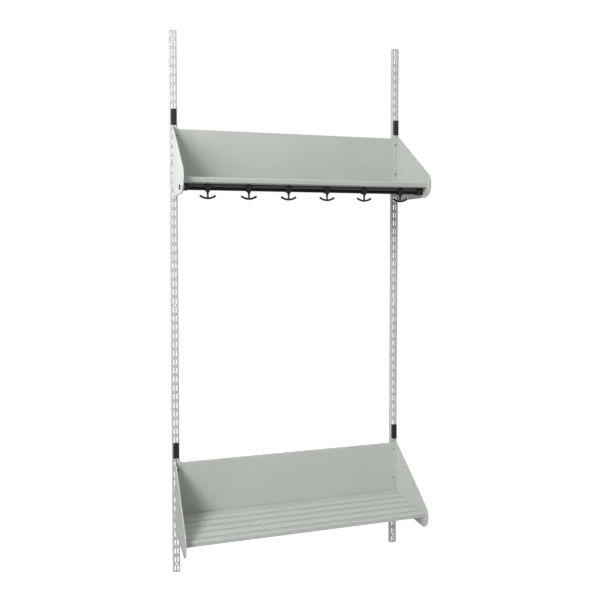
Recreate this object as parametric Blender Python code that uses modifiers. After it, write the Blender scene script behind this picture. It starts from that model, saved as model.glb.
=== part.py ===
"""Childrens cloakroom unit that hangs on a wall.

Two slotted uprights carry an upper and a lower shelf. A shelf has two folded
end gables, a back plate and a pressed panel between them. A black rail with six anchor
hooks hangs below the front of the upper shelf.

Metres. +Z is up, the wall is the plane y = 0 and the front faces -Y.
"Forward" values count from the wall, so a forward value f sits at y = -f.
"""

import math

import bmesh
import bpy
from mathutils import Matrix, Vector

# Sheet metal, clearances and overruns
SHEET = 0.0015
GAP = 0.0003
CUT_MARGIN = 0.002
JOIN_STEP = 0.0001
FOLD = SHEET

# Uprights
UPRIGHT_SPACING = 0.873
UPRIGHT_WIDTH = 0.027
UPRIGHT_DEPTH = 0.016
SLOT_PITCH = 0.032
SLOT_COUNT = 62
SLOT_HEIGHT = 0.019
SLOT_WIDTH = 0.004
SLOT_COLUMN_SPACING = 0.0104
WALL_HOLE_RADIUS = 0.0035
WALL_HOLE_ROWS = (1, 31, 61)
UPRIGHT_CENTRE = UPRIGHT_SPACING / 2
UPRIGHT_HEIGHT = SLOT_PITCH * SLOT_COUNT
SLOT_COLUMN = SLOT_COLUMN_SPACING / 2

# Where the shelves hang, in slots from the bottom and in the rise above that slot's lower end
SHELF_ROWS = {"upper": 43, "lower": 5}
SHELF_RISE = 0.008
SHELF_BOTTOMS = {level: row * SLOT_PITCH + SHELF_RISE for level, row in SHELF_ROWS.items()}

# Gables, heights counted from the gable's own bottom
GABLE_STANDOFF = 0.015
GABLE_LENGTH = 0.282
GABLE_HEIGHT = 0.256
NOSE_RADIUS = 0.047
NOSE_SEGMENTS = 12
RIM_WIDTH = 0.006
FLANGE_WIDTH = 0.0215
GABLE_FACE = UPRIGHT_CENTRE + SLOT_COLUMN + SHEET / 2
GABLE_BACK = UPRIGHT_DEPTH + GABLE_STANDOFF
NOSE_FORWARD = GABLE_BACK + GABLE_LENGTH - NOSE_RADIUS
SLANT_RUN = GABLE_LENGTH - NOSE_RADIUS
SLANT_RISE = GABLE_HEIGHT - NOSE_RADIUS
SLANT_ANGLE = math.atan2(SLANT_RUN, SLANT_RISE) + math.asin(
    NOSE_RADIUS / math.hypot(SLANT_RUN, SLANT_RISE)
)
INNER_HALF = GABLE_FACE - SHEET - GAP

# Lugs that hook into the uprights, the top one in the last slot that the gable covers
BOTTOM_LUG_ROW = 1
TOP_LUG_ROW = int((GABLE_HEIGHT + SHELF_RISE) / SLOT_PITCH) - 1
LUG_ROWS = (BOTTOM_LUG_ROW, (BOTTOM_LUG_ROW + TOP_LUG_ROW) // 2, TOP_LUG_ROW)
LUG_HEIGHT = 0.0122
LUG_ROOT_DEPTH = 0.005
TOOTH_DEPTH = 0.0072
TOOTH_DROP = 0.0048
WEB_BACK = UPRIGHT_DEPTH - SHEET - GAP
LUG_HEIGHTS = [(row + 0.5) * SLOT_PITCH - SHELF_RISE for row in LUG_ROWS]
LUG_BELOW = SLOT_HEIGHT / 2 - GAP
LUG_ABOVE = LUG_HEIGHT - LUG_BELOW

# Back plates
PLATE_TOP_DROP = 0.010
PLATE_DROP = 0.006
PLATE_HEM_DEPTH = 0.0097
PLATE_FOLD = 0.001
PLATE_TOP = GABLE_HEIGHT - PLATE_TOP_DROP
PLATE_BOTTOM = NOSE_RADIUS - PLATE_DROP
PLATE_FRONT = GABLE_BACK - GAP
FLANGE_RISE = 0.0148
FLANGE_BOTTOM = NOSE_RADIUS + FLANGE_RISE

# Plate screws
SCREW_INSET = 0.0128
SCREW_TOP_INSET = 0.0255
SCREW_BOTTOM_INSET = 0.0429
SCREW_SHANK_RADIUS = 0.0016
SCREW_CLEARANCE = 0.0005
SCREW_HOLE_RADIUS = SCREW_SHANK_RADIUS + SCREW_CLEARANCE
SCREW_HEAD_RADIUS = 0.003
SCREW_HEAD_HEIGHT = 0.0018
SCREW_LENGTH = 0.009
SCREW_HEAD_SHARES = ((1, 0), (0.8, 0.7), (0.4, 1), (0, 1))
SCREW_OUT = GABLE_FACE - SCREW_INSET
SCREW_HEIGHTS = {
    "top": PLATE_TOP - SCREW_TOP_INSET,
    "bottom": FLANGE_BOTTOM + SCREW_BOTTOM_INSET,
}

# Shelf panels with pressed hollows, a flange at the back and a folded front face
PANEL_RISE = 0.0075
PANEL_ADVANCE = 0.0125
PANEL_SETBACK = 0.002
PANEL_FACE_HEIGHT = 0.018
PANEL_RETURN = 0.014
PANEL_FLANGE = 0.015
PANEL_BEND = 0.0025
PANEL_FRONT_BEND = 0.004
PANEL_BACK_LAND = 0.0352
PANEL_FRONT_LAND = 0.0121
HOLLOW_COUNT = 4
HOLLOW_DEPTH = 0.005
HOLLOW_POWER = 1.5
HOLLOW_STEPS = 18
PANEL_TOP = NOSE_RADIUS + PANEL_RISE
PANEL_FRONT = NOSE_FORWARD + PANEL_ADVANCE
PANEL_BACK = PLATE_FRONT + PANEL_SETBACK
HOLLOWS_END = PANEL_FRONT - PANEL_FRONT_BEND - PANEL_FRONT_LAND
HOLLOWS_START = PANEL_BACK + PANEL_BEND + PANEL_BACK_LAND
HOLLOW_PITCH = (HOLLOWS_END - HOLLOWS_START) / HOLLOW_COUNT

# Hook rail, placed from the centre of the gable's nose
RAIL_SETBACK = 0.030
RAIL_DROP = 0.022
RAIL_NOSE_RADIUS = 0.011
RAIL_BODY_DEPTH = 0.014
GROOVE_SETBACK = 0.003
GROOVE_NECK_WIDTH = 0.006
GROOVE_HEAD_WIDTH = 0.011
GROOVE_HEAD_HEIGHT = 0.005
RAIL_LIP = 0.0025
RAIL_FORWARD = NOSE_FORWARD - RAIL_SETBACK
RAIL_HEIGHT = NOSE_RADIUS - RAIL_DROP
RAIL_FRONT = RAIL_FORWARD + RAIL_NOSE_RADIUS
RAIL_BACK = RAIL_FORWARD - RAIL_BODY_DEPTH
RAIL_BOTTOM = RAIL_HEIGHT - RAIL_NOSE_RADIUS
RAIL_TOP = RAIL_HEIGHT + RAIL_NOSE_RADIUS
GROOVE_FORWARD = RAIL_FORWARD - GROOVE_SETBACK
GROOVE_FLOOR = RAIL_BOTTOM + RAIL_LIP
GROOVE_TOP = GROOVE_FLOOR + GROOVE_HEAD_HEIGHT

# Rail end brackets and their pins through the gables
BRACKET_WIDTH = 0.0235
BRACKET_MARGIN = 0.001
BRACKET_DROP = 0.0025
BRACKET_ROUNDING = 0.0012
TONGUE_LENGTH = 0.0125
PIN_ADVANCE = 0.005
PIN_DROP = 0.0031
PIN_SPACING = 0.0088
PIN_RADIUS = 0.0025
PIN_CLEARANCE = 0.0004
PIN_HOLE_RADIUS = PIN_RADIUS + PIN_CLEARANCE
PIN_HEAD_RADIUS = 0.0039
PIN_HEAD_HEIGHT = 0.0038
PIN_ROOT = 0.0078
PIN_HEAD_SHARES = ((1, 0), (1, 0.75), (0.7, 1), (0, 1))
BRACKET_SCREW_RADIUS = 0.0014
BRACKET_SCREW_CLEARANCE = 0.0004
BRACKET_SCREW_HEAD_RADIUS = 0.0028
BRACKET_SCREW_LENGTH = 0.010
RAIL_HALF = INNER_HALF - BRACKET_WIDTH - GAP
BRACKET_FRONT = RAIL_FRONT + BRACKET_MARGIN
BRACKET_BACK = RAIL_BACK + BRACKET_MARGIN
BRACKET_BOTTOM = RAIL_BOTTOM - BRACKET_DROP
BRACKET_TOP = RAIL_TOP - BRACKET_MARGIN / 2
BRACKET_MIDDLE = INNER_HALF - BRACKET_WIDTH / 2
PIN_FORWARD = RAIL_FORWARD + PIN_ADVANCE
PIN_HEIGHTS = [RAIL_HEIGHT - PIN_DROP + side * PIN_SPACING / 2 for side in (-1, 1)]

# Hook carriers, with the key that runs in the rail's groove
HOOK_COUNT = 6
HOOK_END_INSET = 0.0656
STEM_ADVANCE = 0.010
COLLAR_HEIGHT = 0.0082
COLLAR_TOP_RADIUS = 0.008
COLLAR_BOTTOM_RADIUS = 0.0044
SADDLE_THICKNESS = 0.0032
SADDLE_WIDTH = 0.014
SADDLE_REACH = 0.006
KEY_LENGTH = 0.010
KEY_PLAY = 0.0006
DISC_RADIUS = 0.0115
DISC_DEPTH = 0.0055
DISC_SHARES = ((0, 0), (1, 0), (1, 0.45), (0.95, 0.7), (0.75, 0.92), (0, 1))
BRIDGE_WIDTH = 0.013
BRIDGE_LIFT = 0.002
BRIDGE_THICKNESS = 0.0044
HOOK_SPREAD = 2 * (RAIL_HALF - HOOK_END_INSET)
STEM_FORWARD = RAIL_FORWARD + STEM_ADVANCE
COLLAR_TOP = RAIL_BOTTOM - GAP
COLLAR_BOTTOM = COLLAR_TOP - COLLAR_HEIGHT
DISC_BACK = RAIL_FRONT + GAP
KEY_HEAD_BOTTOM = GROOVE_FLOOR + KEY_PLAY
KEY_HEAD_TOP = GROOVE_TOP - KEY_PLAY
KEY_HEAD_HALF = GROOVE_HEAD_WIDTH / 2 - KEY_PLAY

# Hooks and the swivel that holds them in their carriers
HOOK_HEIGHT = 0.0222
STEM_RADIUS = 0.0032
ARM_RADIUS = 0.0035
ARM_REACH = 0.0245
ARM_BEND = 0.043
ARM_STEPS = 10
TIP_RISES = (30, 60, 80)
SWIVEL_PIN_RADIUS = 0.0022
SWIVEL_HEAD_RADIUS = 0.0034
SWIVEL_PLAY = 0.0004
SOCKET_FLOOR = 0.0035
SOCKET_ROOF = 0.0011
STEM_TOP = COLLAR_BOTTOM - GAP
HOOK_BOTTOM = STEM_TOP - HOOK_HEIGHT
SOCKET_BOTTOM = COLLAR_BOTTOM + SOCKET_FLOOR
SOCKET_TOP = COLLAR_TOP - SOCKET_ROOF

# Lock clips, above the gables on the uprights, two slots above the top lug
CLIP_HANG = 0.035
CLIP_HEIGHT = 0.057
CLIP_WIDTH = 0.020
CLIP_THICKNESS = 0.0107
CLIP_ROUNDING = 0.002
TAB_DEPTH = 0.0035
TAB_ROOT = 0.003
TAB_PLAY = 0.0005
TAB_HEIGHT = 0.016
CLIP_BACK = UPRIGHT_DEPTH + GAP
TAB_MIDDLE = (TOP_LUG_ROW + 2.5) * SLOT_PITCH - SHELF_RISE

FINE_SEGMENTS = 28
ROUND_SEGMENTS = 16
SMALL_SEGMENTS = 12
SMOOTH_ANGLE = math.radians(35)
FOLD_ANGLE = math.radians(50)
MERGE = 0.00001
SIDES = {"left": -1, "right": 1}

# Rotations that point an object's own z axis
UP = (0, 0, 0)
FORWARD = (math.pi / 2, 0, 0)
OUTWARD = {-1: (0, -math.pi / 2, 0), 1: (0, math.pi / 2, 0)}

# An outline in this plane has its x forward and its y up
SIDE_PLANE = (math.pi / 2, 0, -math.pi / 2)
# An outline in this plane has its x to the right and its y forward
FLOOR_PLANE = (math.pi, 0, 0)


def clear_scene():
    for obj in list(bpy.data.objects):
        bpy.data.objects.remove(obj, do_unlink=True)


def new_material(name, colour, metallic, roughness):
    material = bpy.data.materials.new(name)
    material.use_nodes = True
    shader = material.node_tree.nodes["Principled BSDF"]
    shader.inputs["Base Color"].default_value = (*colour, 1)
    shader.inputs["Metallic"].default_value = metallic
    shader.inputs["Roughness"].default_value = roughness
    material.diffuse_color = (*colour, 1)
    return material


def at(x, forward, height):
    return Vector((x, -forward, height))


def object_from(name, shape, location=(0, 0, 0), rotation=UP):
    """Turns a bmesh into an object that is smooth except at its sharp edges."""
    mesh = bpy.data.meshes.new(name)
    shape.to_mesh(mesh)
    shape.free()
    mesh.shade_smooth()
    mesh.set_sharp_from_angle(angle=SMOOTH_ANGLE)
    obj = bpy.data.objects.new(name, mesh)
    obj.location = location
    obj.rotation_euler = rotation
    return obj


def settled(obj):
    """The object's shape with its modifiers applied and its seams welded, as a bmesh."""
    bpy.context.scene.collection.objects.link(obj)
    bpy.context.view_layer.update()
    graph = bpy.context.evaluated_depsgraph_get()
    mesh = bpy.data.meshes.new_from_object(obj.evaluated_get(graph))
    shape = bmesh.new()
    shape.from_mesh(mesh)
    bmesh.ops.remove_doubles(shape, verts=shape.verts, dist=MERGE)
    bpy.data.meshes.remove(mesh)
    bpy.data.objects.remove(obj, do_unlink=True)
    return shape


def box(name, across, forward, height):
    """A block between two x values, two forward values and two heights."""
    shape = bmesh.new()
    bmesh.ops.create_cube(shape, size=1)
    size = (abs(across[1] - across[0]), forward[1] - forward[0], height[1] - height[0])
    bmesh.ops.scale(shape, vec=size, verts=shape.verts)
    middle = at(sum(across) / 2, sum(forward) / 2, sum(height) / 2)
    return object_from(name, shape, middle)


def rod(name, middle, radius, length, rotation, segments=ROUND_SEGMENTS):
    shape = bmesh.new()
    bmesh.ops.create_cone(
        shape,
        cap_ends=True,
        segments=segments,
        radius1=radius,
        radius2=radius,
        depth=length,
    )
    return object_from(name, shape, middle, rotation)


def sheet_hole(name, middle, radius, rotation):
    return rod(name, middle, radius, SHEET + 2 * CUT_MARGIN, rotation, SMALL_SEGMENTS)


def turned(name, profile, location, rotation, segments=ROUND_SEGMENTS):
    """Revolves (radius, height) points, listed from the bottom up, round the object's z axis."""
    line = bmesh.new()
    points = [line.verts.new((radius, 0, height)) for radius, height in reversed(profile)]
    for first, second in zip(points, points[1:]):
        line.edges.new((first, second))
    obj = object_from(name, line)
    modifier = obj.modifiers.new("turn", "SCREW")
    modifier.steps = segments
    modifier.render_steps = segments
    modifier.use_merge_vertices = True
    modifier.merge_threshold = MERGE
    return object_from(name, settled(obj), location, rotation)


def profile_from(shares, radius, height):
    """Profile points from shares of a radius and of a height."""
    return [(radius * out, height * up) for out, up in shares]


def outline(name, points, thickness, location, rotation):
    """A flat outline with its thickness on both sides of its own plane."""
    curve = bpy.data.curves.new(name, "CURVE")
    curve.dimensions = "2D"
    curve.fill_mode = "BOTH"
    curve.extrude = thickness / 2
    spline = curve.splines.new("POLY")
    spline.points.add(len(points) - 1)
    for target, (x, y) in zip(spline.points, points):
        target.co = (x, y, 0, 1)
    spline.use_cyclic_u = True
    shape = settled(bpy.data.objects.new(name, curve))
    bmesh.ops.recalc_face_normals(shape, faces=shape.faces)
    return object_from(name, shape, location, rotation)


def bar(name, points, radius, location):
    """A round bar through (point, share of the radius) pairs."""
    curve = bpy.data.curves.new(name, "CURVE")
    curve.dimensions = "3D"
    curve.bevel_depth = radius
    curve.bevel_resolution = 1
    curve.use_fill_caps = True
    spline = curve.splines.new("POLY")
    spline.points.add(len(points) - 1)
    for target, (point, radius_share) in zip(spline.points, points):
        target.co = (*point, 1)
        target.radius = radius_share
    shape = settled(bpy.data.objects.new(name, curve))
    bmesh.ops.recalc_face_normals(shape, faces=shape.faces)
    return object_from(name, shape, location)


def as_part(obj, material):
    obj.data.materials.append(material)
    parts.objects.link(obj)
    return obj


def add_boolean(obj, other, operation):
    cutters.objects.link(other)
    other.hide_render = True
    other.display_type = "WIRE"
    modifier = obj.modifiers.new(other.name, "BOOLEAN")
    modifier.operation = operation
    modifier.solver = "EXACT"
    modifier.object = other


def cut(obj, other):
    add_boolean(obj, other, "DIFFERENCE")


def join(obj, other):
    add_boolean(obj, other, "UNION")


def round_edges(obj, width, segments):
    modifier = obj.modifiers.new("rounding", "BEVEL")
    modifier.width = width
    modifier.segments = segments
    modifier.limit_method = "ANGLE"
    modifier.angle_limit = FOLD_ANGLE


def inset(points, distance):
    """Moves each side of a convex outline inwards by the distance."""
    count = len(points)
    turning = sum(
        points[i - 1][0] * points[i][1] - points[i][0] * points[i - 1][1]
        for i in range(count)
    )
    inward = math.copysign(1, turning)
    sides = []
    for i in range(count):
        start = Vector(points[i])
        along = (Vector(points[(i + 1) % count]) - start).normalized()
        normal = inward * Vector((-along.y, along.x))
        sides.append((start + distance * normal, along))
    moved = []
    for i in range(count):
        (before, first), (after, second) = sides[i - 1], sides[i]
        cross = first.x * second.y - first.y * second.x
        between = after - before
        reach = (between.x * second.y - between.y * second.x) / cross
        moved.append(tuple(before + reach * first))
    return moved


def folded_profile(bends, thickness, radius, steps):
    """Section of a sheet bent square along (forward, height) points.

    The sheet's thickness lies to the left of the first stretch as it runs.
    """
    points = [Vector(point) for point in bends]
    along = [(points[i + 1] - points[i]).normalized() for i in range(len(points) - 1)]
    normal = [Vector((-a.y, a.x)) for a in along]
    front = [points[0]]
    back = [points[0] + thickness * normal[0]]
    for i in range(1, len(points) - 1):
        towards = along[i].dot(normal[i - 1]) > 0
        side = 1 if towards else -1
        front_radius = radius + thickness if towards else radius
        back_radius = radius if towards else radius + thickness
        centre = points[i] + front_radius * (side * normal[i - 1] - along[i - 1])
        for step in range(steps + 1):
            angle = math.pi / 2 * step / steps
            out = -side * math.cos(angle) * normal[i - 1] + math.sin(angle) * along[i - 1]
            front.append(centre + front_radius * out)
            back.append(centre + back_radius * out)
    front.append(points[-1])
    back.append(points[-1] + thickness * normal[-1])
    return [tuple(point) for point in front + back[::-1]]


def make_upright(side, sign):
    name = f"{side}_upright"
    centre = sign * UPRIGHT_CENTRE
    half = UPRIGHT_WIDTH / 2
    inner = half - SHEET
    web_back = UPRIGHT_DEPTH - SHEET
    channel = [
        (-half, 0),
        (-half, UPRIGHT_DEPTH),
        (half, UPRIGHT_DEPTH),
        (half, 0),
        (inner, 0),
        (inner, web_back),
        (-inner, web_back),
        (-inner, 0),
    ]
    middle = at(centre, 0, UPRIGHT_HEIGHT / 2)
    upright = as_part(
        outline(name, channel, UPRIGHT_HEIGHT, middle, FLOOR_PLANE), upright_paint
    )
    slots = bmesh.new()
    size = (SLOT_WIDTH, SHEET + 2 * CUT_MARGIN, SLOT_HEIGHT)
    for column in (-SLOT_COLUMN, SLOT_COLUMN):
        for row in range(SLOT_COUNT):
            spot = at(column, 0, (row + 0.5) * SLOT_PITCH)
            place = Matrix.Translation(spot) @ Matrix.Diagonal((*size, 1))
            bmesh.ops.create_cube(slots, size=1, matrix=place)
    turn = Matrix.Rotation(math.pi / 2, 4, "X")
    for row in WALL_HOLE_ROWS:
        bmesh.ops.create_cone(
            slots,
            cap_ends=True,
            segments=ROUND_SEGMENTS,
            radius1=WALL_HOLE_RADIUS,
            radius2=WALL_HOLE_RADIUS,
            depth=size[1],
            matrix=Matrix.Translation(at(0, 0, row * SLOT_PITCH)) @ turn,
        )
    cut(upright, object_from(f"{name}_slots", slots, at(centre, UPRIGHT_DEPTH - SHEET / 2, 0)))


def gable_points():
    """(forward, height) points from the back of the bottom edge round the nose to the top corner."""
    points = [(GABLE_BACK, 0)]
    for i in range(NOSE_SEGMENTS + 1):
        turn = (SLANT_ANGLE + math.pi / 2) * i / NOSE_SEGMENTS
        points.append(
            (
                NOSE_FORWARD + NOSE_RADIUS * math.sin(turn),
                NOSE_RADIUS - NOSE_RADIUS * math.cos(turn),
            )
        )
    points.append((GABLE_BACK, GABLE_HEIGHT))
    return points


def round_outer_face(gable, sign):
    """Marks the edges round the gable's outer face and rounds them like a fold."""
    outer = -sign * RIM_WIDTH / 2
    shape = bmesh.new()
    shape.from_mesh(gable.data)
    weight = shape.edges.layers.float.new("bevel_weight_edge")
    for edge in shape.edges:
        if edge.is_manifold and edge.calc_face_angle() > FOLD_ANGLE:
            if all(abs(corner.co.z - outer) < MERGE for corner in edge.verts):
                edge[weight] = 1
    shape.to_mesh(gable.data)
    shape.free()
    modifier = gable.modifiers.new("fold", "BEVEL")
    modifier.width = FOLD
    modifier.segments = 2
    modifier.limit_method = "WEIGHT"


def make_gable(level, side, sign):
    name = f"{level}_{side}_gable"
    bottom = SHELF_BOTTOMS[level]
    points = gable_points()
    top = bottom + GABLE_HEIGHT
    middle = at(sign * (GABLE_FACE - RIM_WIDTH / 2), 0, bottom)
    gable = as_part(outline(name, points, RIM_WIDTH, middle, SIDE_PLANE), shelf_paint)
    round_outer_face(gable, sign)
    pocket_across = (
        sign * (GABLE_FACE - RIM_WIDTH - CUT_MARGIN),
        sign * (GABLE_FACE - SHEET),
    )
    pocket_depth = RIM_WIDTH + CUT_MARGIN - SHEET
    pocket_middle = at(sum(pocket_across) / 2, 0, bottom)
    pocket = outline(
        f"{name}_pocket", inset(points, SHEET), pocket_depth, pocket_middle, SIDE_PLANE
    )
    cut(gable, pocket)
    notch_forward = (GABLE_BACK - CUT_MARGIN, GABLE_BACK + SHEET + CUT_MARGIN)
    notch_height = (bottom + SHEET + GAP, bottom + FLANGE_BOTTOM)
    cut(gable, box(f"{name}_notch", pocket_across, notch_forward, notch_height))
    flange_across = (
        sign * (GABLE_FACE - FLANGE_WIDTH),
        sign * (GABLE_FACE - RIM_WIDTH / 2),
    )
    flange_forward = (GABLE_BACK + JOIN_STEP, GABLE_BACK + SHEET - JOIN_STEP)
    flange_height = (bottom + FLANGE_BOTTOM + JOIN_STEP, top - SHEET)
    join(gable, box(f"{name}_flange", flange_across, flange_forward, flange_height))
    lug = [
        (GABLE_BACK + LUG_ROOT_DEPTH, -LUG_BELOW),
        (GABLE_BACK + LUG_ROOT_DEPTH, LUG_ABOVE),
        (WEB_BACK - TOOTH_DEPTH, LUG_ABOVE),
        (WEB_BACK - TOOTH_DEPTH, -LUG_BELOW - TOOTH_DROP),
        (WEB_BACK, -LUG_BELOW - TOOTH_DROP),
        (WEB_BACK, -LUG_BELOW),
    ]
    for number, height in enumerate(LUG_HEIGHTS, start=1):
        lug_middle = at(sign * (GABLE_FACE - SHEET / 2), 0, bottom + height)
        lug_name = f"{name}_lug_{number}"
        join(gable, outline(lug_name, lug, SHEET - 2 * JOIN_STEP, lug_middle, SIDE_PLANE))
    for end, height in SCREW_HEIGHTS.items():
        hole_middle = at(sign * SCREW_OUT, GABLE_BACK + SHEET / 2, bottom + height)
        cut(gable, sheet_hole(f"{name}_{end}_hole", hole_middle, SCREW_HOLE_RADIUS, FORWARD))
    if level == "upper":
        for number, height in enumerate(PIN_HEIGHTS, start=1):
            hole_middle = at(sign * (GABLE_FACE - SHEET / 2), PIN_FORWARD, bottom + height)
            hole_name = f"{name}_pin_hole_{number}"
            cut(gable, sheet_hole(hole_name, hole_middle, PIN_HOLE_RADIUS, OUTWARD[sign]))


def make_back_plate(level):
    name = f"{level}_back_plate"
    bottom = SHELF_BOTTOMS[level]
    bends = [
        (PLATE_FRONT, PLATE_BOTTOM),
        (PLATE_FRONT, PLATE_TOP),
        (PLATE_FRONT - PLATE_HEM_DEPTH, PLATE_TOP),
    ]
    section = folded_profile(bends, SHEET, PLATE_FOLD, 3)
    middle = at(0, 0, bottom)
    plate = as_part(outline(name, section, 2 * INNER_HALF, middle, SIDE_PLANE), shelf_paint)
    for side, sign in SIDES.items():
        for end, height in SCREW_HEIGHTS.items():
            hole_middle = at(sign * SCREW_OUT, PLATE_FRONT - SHEET / 2, bottom + height)
            hole_name = f"{name}_{side}_{end}_hole"
            cut(plate, sheet_hole(hole_name, hole_middle, SCREW_HOLE_RADIUS, FORWARD))


def screw(name, seat, shank_radius, length, head_radius, material):
    """A pan head screw whose head sits on the given point and whose shank runs back from it."""
    profile = [
        (0, -length),
        (shank_radius, -length),
        (shank_radius, 0),
    ]
    profile += profile_from(SCREW_HEAD_SHARES, head_radius, SCREW_HEAD_HEIGHT)
    as_part(turned(name, profile, seat, FORWARD, SMALL_SEGMENTS), material)


def make_plate_screws(level):
    for side, sign in SIDES.items():
        for end, height in SCREW_HEIGHTS.items():
            seat = at(
                sign * SCREW_OUT,
                GABLE_BACK + SHEET + GAP,
                SHELF_BOTTOMS[level] + height,
            )
            screw(
                f"{level}_{side}_{end}_plate_screw",
                seat,
                SCREW_SHANK_RADIUS,
                SCREW_LENGTH,
                SCREW_HEAD_RADIUS,
                dark_steel,
            )


def bend_path(centre, radius, start, end, steps):
    """Points round a right-hand bend, each with the heading of the path there."""
    path = []
    for step in range(steps + 1):
        heading = start + (end - start) * step / steps
        out = Vector((-math.sin(heading), math.cos(heading)))
        path.append((Vector(centre) + radius * out, heading))
    return path


def panel_path():
    """The panel's outer side from its back flange over the hollows to the front return.

    In a hollow the sheet sinks by depth c^p, where c is (1 - cos t) / 2 and t goes a
    full turn from land to land.
    """
    quarter = math.pi / 2
    bottom = PANEL_TOP - PANEL_FACE_HEIGHT
    path = [(Vector((PANEL_BACK, PANEL_TOP - PANEL_FLANGE)), quarter)]
    centre = (PANEL_BACK + PANEL_BEND, PANEL_TOP - PANEL_BEND)
    path += bend_path(centre, PANEL_BEND, quarter, 0, 3)
    steepest = math.pi * HOLLOW_POWER * HOLLOW_DEPTH / HOLLOW_PITCH
    for step in range(HOLLOW_COUNT * HOLLOW_STEPS + 1):
        turn = 2 * math.pi * step / HOLLOW_STEPS
        share = (1 - math.cos(turn)) / 2
        sunk = HOLLOW_DEPTH * share**HOLLOW_POWER
        slope = -steepest * share ** (HOLLOW_POWER - 1) * math.sin(turn)
        forward = HOLLOWS_START + HOLLOW_PITCH * step / HOLLOW_STEPS
        path.append((Vector((forward, PANEL_TOP - sunk)), math.atan(slope)))
    centre = (PANEL_FRONT - PANEL_FRONT_BEND, PANEL_TOP - PANEL_FRONT_BEND)
    path += bend_path(centre, PANEL_FRONT_BEND, 0, -quarter, 6)
    centre = (PANEL_FRONT - PANEL_BEND, bottom + PANEL_BEND)
    path += bend_path(centre, PANEL_BEND, -quarter, -math.pi, 4)
    path.append((Vector((PANEL_FRONT - PANEL_RETURN, bottom)), -math.pi))
    return path


def make_shelf_panel(level):
    outer, inner = [], []
    for point, heading in panel_path():
        outer.append(tuple(point))
        inner.append(tuple(point + SHEET * Vector((math.sin(heading), -math.cos(heading)))))
    section = outer + inner[::-1]
    middle = at(0, 0, SHELF_BOTTOMS[level])
    panel = outline(f"{level}_shelf_panel", section, 2 * INNER_HALF, middle, SIDE_PLANE)
    as_part(panel, shelf_paint)


def make_rail():
    neck_half = GROOVE_NECK_WIDTH / 2
    head_half = GROOVE_HEAD_WIDTH / 2
    section = [
        (RAIL_BACK, RAIL_TOP),
        (RAIL_BACK, RAIL_BOTTOM),
        (GROOVE_FORWARD - neck_half, RAIL_BOTTOM),
        (GROOVE_FORWARD - neck_half, GROOVE_FLOOR),
        (GROOVE_FORWARD - head_half, GROOVE_FLOOR),
        (GROOVE_FORWARD - head_half, GROOVE_TOP),
        (GROOVE_FORWARD + head_half, GROOVE_TOP),
        (GROOVE_FORWARD + head_half, GROOVE_FLOOR),
        (GROOVE_FORWARD + neck_half, GROOVE_FLOOR),
        (GROOVE_FORWARD + neck_half, RAIL_BOTTOM + GAP),
    ]
    for i in range(1, NOSE_SEGMENTS + 1):
        turn = math.pi * i / NOSE_SEGMENTS
        section.append(
            (
                RAIL_FORWARD + RAIL_NOSE_RADIUS * math.sin(turn),
                RAIL_HEIGHT - RAIL_NOSE_RADIUS * math.cos(turn),
            )
        )
    middle = at(0, 0, SHELF_BOTTOMS["upper"])
    as_part(outline("hook_rail", section, 2 * RAIL_HALF, middle, SIDE_PLANE), rail_black)


def make_end_bracket(side, sign):
    bottom = SHELF_BOTTOMS["upper"]
    name = f"{side}_rail_end_bracket"
    across = (sign * (RAIL_HALF + GAP), sign * INNER_HALF)
    height = (bottom + BRACKET_BOTTOM, bottom + BRACKET_TOP)
    bracket = as_part(box(name, across, (BRACKET_BACK, BRACKET_FRONT), height), black_plastic)
    round_edges(bracket, BRACKET_ROUNDING, 1)
    tongue_across = (
        sign * (RAIL_HALF - TONGUE_LENGTH),
        sign * (RAIL_HALF + TONGUE_LENGTH / 2),
    )
    tongue_forward = (GROOVE_FORWARD - KEY_HEAD_HALF, GROOVE_FORWARD + KEY_HEAD_HALF)
    tongue_height = (bottom + KEY_HEAD_BOTTOM, bottom + KEY_HEAD_TOP)
    join(bracket, box(f"{name}_tongue", tongue_across, tongue_forward, tongue_height))
    pin = [
        (0, -PIN_ROOT),
        (PIN_RADIUS, -PIN_ROOT),
        (PIN_RADIUS, 0),
    ]
    pin += profile_from(PIN_HEAD_SHARES, PIN_HEAD_RADIUS, PIN_HEAD_HEIGHT)
    for number, level in enumerate(PIN_HEIGHTS, start=1):
        seat = at(sign * (GABLE_FACE + GAP), PIN_FORWARD, bottom + level)
        join(bracket, turned(f"{name}_pin_{number}", pin, seat, OUTWARD[sign], SMALL_SEGMENTS))
    screw_height = bottom + (BRACKET_BOTTOM + BRACKET_TOP) / 2
    depth = BRACKET_SCREW_LENGTH + CUT_MARGIN
    hole_middle = at(sign * BRACKET_MIDDLE, BRACKET_FRONT - depth / 2 + CUT_MARGIN / 2, screw_height)
    cut(
        bracket,
        rod(
            f"{name}_hole",
            hole_middle,
            BRACKET_SCREW_RADIUS + BRACKET_SCREW_CLEARANCE,
            depth + CUT_MARGIN,
            FORWARD,
            SMALL_SEGMENTS,
        ),
    )
    screw(
        f"{side}_bracket_screw",
        at(sign * BRACKET_MIDDLE, BRACKET_FRONT + GAP, screw_height),
        BRACKET_SCREW_RADIUS,
        BRACKET_SCREW_LENGTH,
        BRACKET_SCREW_HEAD_RADIUS,
        bright_steel,
    )


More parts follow.
